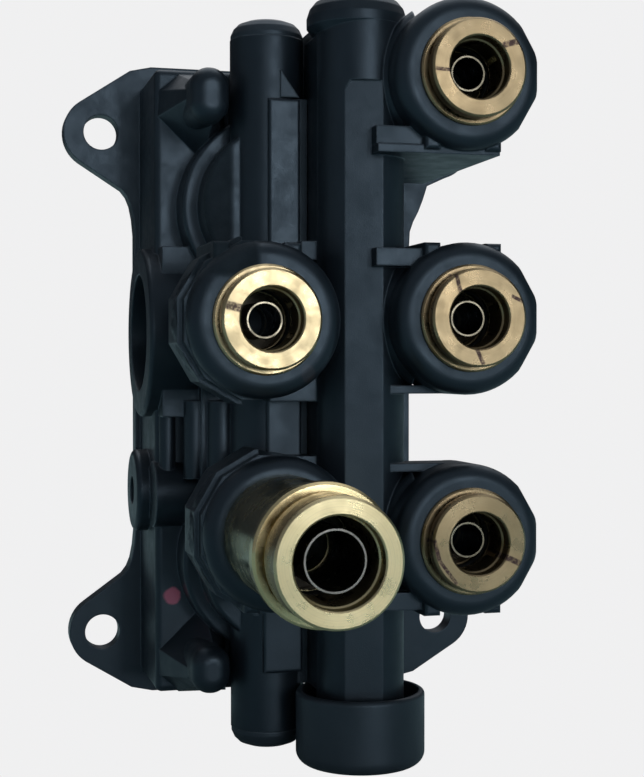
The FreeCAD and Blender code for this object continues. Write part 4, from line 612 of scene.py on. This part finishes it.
# floor: the camera sees the plain background there, and other rays a dull teal
BACKGROUND = (0.871, 0.871, 0.876, 1)
FLOOR_BOUNCE = (0.30, 0.44, 0.46, 1)
FLOOR_HALF = 3.0
FLOOR_DROP = 0.2 * MM
floor_z = low[2] - FLOOR_DROP
corners = ((-FLOOR_HALF, -FLOOR_HALF), (FLOOR_HALF, -FLOOR_HALF), (FLOOR_HALF, FLOOR_HALF),
           (-FLOOR_HALF, FLOOR_HALF))
floor_mesh = bpy.data.meshes.new("floor")
floor_mesh.from_pydata([(x, y, floor_z) for x, y in corners], [], [(0, 1, 2, 3)])
floor = bpy.data.objects.new("floor", floor_mesh)
scene.collection.objects.link(floor)
floor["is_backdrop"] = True
paint = bpy.data.materials.new("floor_white")
paint.use_nodes = True
tree = paint.node_tree
tree.nodes.clear()
output = tree.nodes.new("ShaderNodeOutputMaterial")
path = tree.nodes.new("ShaderNodeLightPath")
bounce = tree.nodes.new("ShaderNodeBsdfDiffuse")
bounce.inputs[0].default_value = FLOOR_BOUNCE
seen = tree.nodes.new("ShaderNodeEmission")
seen.inputs[0].default_value = BACKGROUND
floor_look = pick(tree, path.outputs["Is Camera Ray"], bounce.outputs[0], seen.outputs[0])
tree.links.new(floor_look, output.inputs[0])
floor_mesh.materials.append(paint)

# camera: fitted to the photograph
RIGHT = Vector((0.9669849, -0.2548332, -0.0005239))
DOWN = Vector((-0.0047999, -0.0161580, -0.9998580))
AHEAD = Vector((0.2547886, 0.9668500, -0.0168477))
CAMERA_PLACE = Vector((-0.065354, -0.290039, 0.003640))
FOCAL_PIXELS = 1468.5
PHOTO_HEIGHT = 777.0
SENSOR_HEIGHT = 24.0
camera_data = bpy.data.cameras.new("camera")
camera = bpy.data.objects.new("camera", camera_data)
scene.collection.objects.link(camera)
scene.camera = camera
turn = Matrix((RIGHT, -DOWN, -AHEAD)).transposed()
camera.matrix_world = Matrix.Translation(CAMERA_PLACE) @ turn.to_4x4()
camera_data.sensor_fit = "VERTICAL"
camera_data.sensor_height = SENSOR_HEIGHT
camera_data.lens = FOCAL_PIXELS * SENSOR_HEIGHT / PHOTO_HEIGHT
camera_data.clip_start = 0.01

# key light: an upright soft box a little to the right of the front and below it
KEY_AZIMUTH = math.radians(13.0)
KEY_ELEVATION = math.radians(-9)
KEY_DISTANCE = 1.2
KEY_SIZE = (0.17, 1.15)
KEY_POWER = 3.8
KEY_COLOUR = (0.97, 0.985, 1.0)
KEY_AIM = Vector((0, -0.03, 0))
toward = Vector((math.sin(KEY_AZIMUTH) * math.cos(KEY_ELEVATION),
                 -math.cos(KEY_AZIMUTH) * math.cos(KEY_ELEVATION),
                 math.sin(KEY_ELEVATION)))
key_data = bpy.data.lights.new("key", "AREA")
key_data.shape = "RECTANGLE"
key_data.size, key_data.size_y = KEY_SIZE
key_data.energy = KEY_POWER
key_data.color = KEY_COLOUR
key = bpy.data.objects.new("key", key_data)
scene.collection.objects.link(key)
key.location = toward * KEY_DISTANCE + KEY_AIM
key.rotation_euler = (-toward).to_track_quat("-Z", "Y").to_euler()

# soft patches of light in the sky: direction, the cosines where each starts and is full, colour
SOFT_PATCHES = (
    ((0.22, -0.97, -0.10), 0.70, 0.95, (1.00, 1.01, 1.03)),
    ((0.75, 0.0, -0.66), 0.2, 0.95, (0.06, 0.11, 0.12)),
    ((0.30, 0.88, 0.38), 0.35, 0.95, (1.60, 1.60, 1.62)),
    ((-1.0, 0.35, 0.30), 0.35, 0.95, (0.34, 0.35, 0.37)),
)
SOFT_BASE = (0.06, 0.066, 0.072)
GLOSS_PATCHES = (
    ((0.10, -0.97, -0.19), 0.78, 0.95, (1.62, 1.63, 1.65)),
    ((-1.0, -0.45, 0.1), 0.60, 0.97, (0.16, 0.17, 0.18)),
    ((0.1, -0.3, 1.0), 0.50, 0.95, (0.22, 0.23, 0.24)),
    ((0.20, 0.45, 0.87), 0.72, 0.97, (1.00, 1.02, 1.05)),
    ((0.75, -0.1, -0.66), 0.30, 0.95, (0.14, 0.25, 0.27)),
)
GLOSS_BASE = (0.014, 0.019, 0.025)
world = bpy.data.worlds.new("world")
scene.world = world
world.use_nodes = True
sky = world.node_tree
sky.nodes.clear()
where = sky.nodes.new("ShaderNodeTexCoord").outputs["Generated"]


def sky_patch(direction, start, full, colour):
    """A soft patch of light in the sky round a direction."""
    dot = sky.nodes.new("ShaderNodeVectorMath")
    dot.operation = "DOT_PRODUCT"
    sky.links.new(where, dot.inputs[0])
    dot.inputs[1].default_value = Vector(direction).normalized()
    fade = sky.nodes.new("ShaderNodeMapRange")
    fade.interpolation_type = "SMOOTHSTEP"
    for socket, value in zip(fade.inputs, (dot.outputs["Value"], start, full)):
        feed(sky, socket, value)
    scale = sky.nodes.new("ShaderNodeVectorMath")
    scale.operation = "SCALE"
    scale.inputs[0].default_value = colour
    sky.links.new(fade.outputs[0], scale.inputs["Scale"])
    return scale.outputs[0]


def light_all_round(patches, base):
    """The colour of the sky: its patches over a plain base."""
    colours = [sky_patch(*patch) for patch in patches] + [base]
    result = colours[0]
    for colour in colours[1:]:
        node = sky.nodes.new("ShaderNodeVectorMath")
        node.operation = "ADD"
        feed(sky, node.inputs[0], result)
        feed(sky, node.inputs[1], colour)
        result = node.outputs[0]
    return result


def background(colour):
    node = sky.nodes.new("ShaderNodeBackground")
    feed(sky, node.inputs[0], colour)
    return node.outputs[0]


# the camera sees the plain background, glossy rays their own patches, and all others the soft light
output = sky.nodes.new("ShaderNodeOutputWorld")
path = sky.nodes.new("ShaderNodeLightPath")
soft = background(light_all_round(SOFT_PATCHES, SOFT_BASE))
gloss = background(light_all_round(GLOSS_PATCHES, GLOSS_BASE))
unseen = pick(sky, path.outputs["Is Glossy Ray"], soft, gloss)
sky_look = pick(sky, path.outputs["Is Camera Ray"], unseen, background(BACKGROUND))
sky.links.new(sky_look, output.inputs[0])

scene.view_settings.view_transform = "Standard"
low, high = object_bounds()
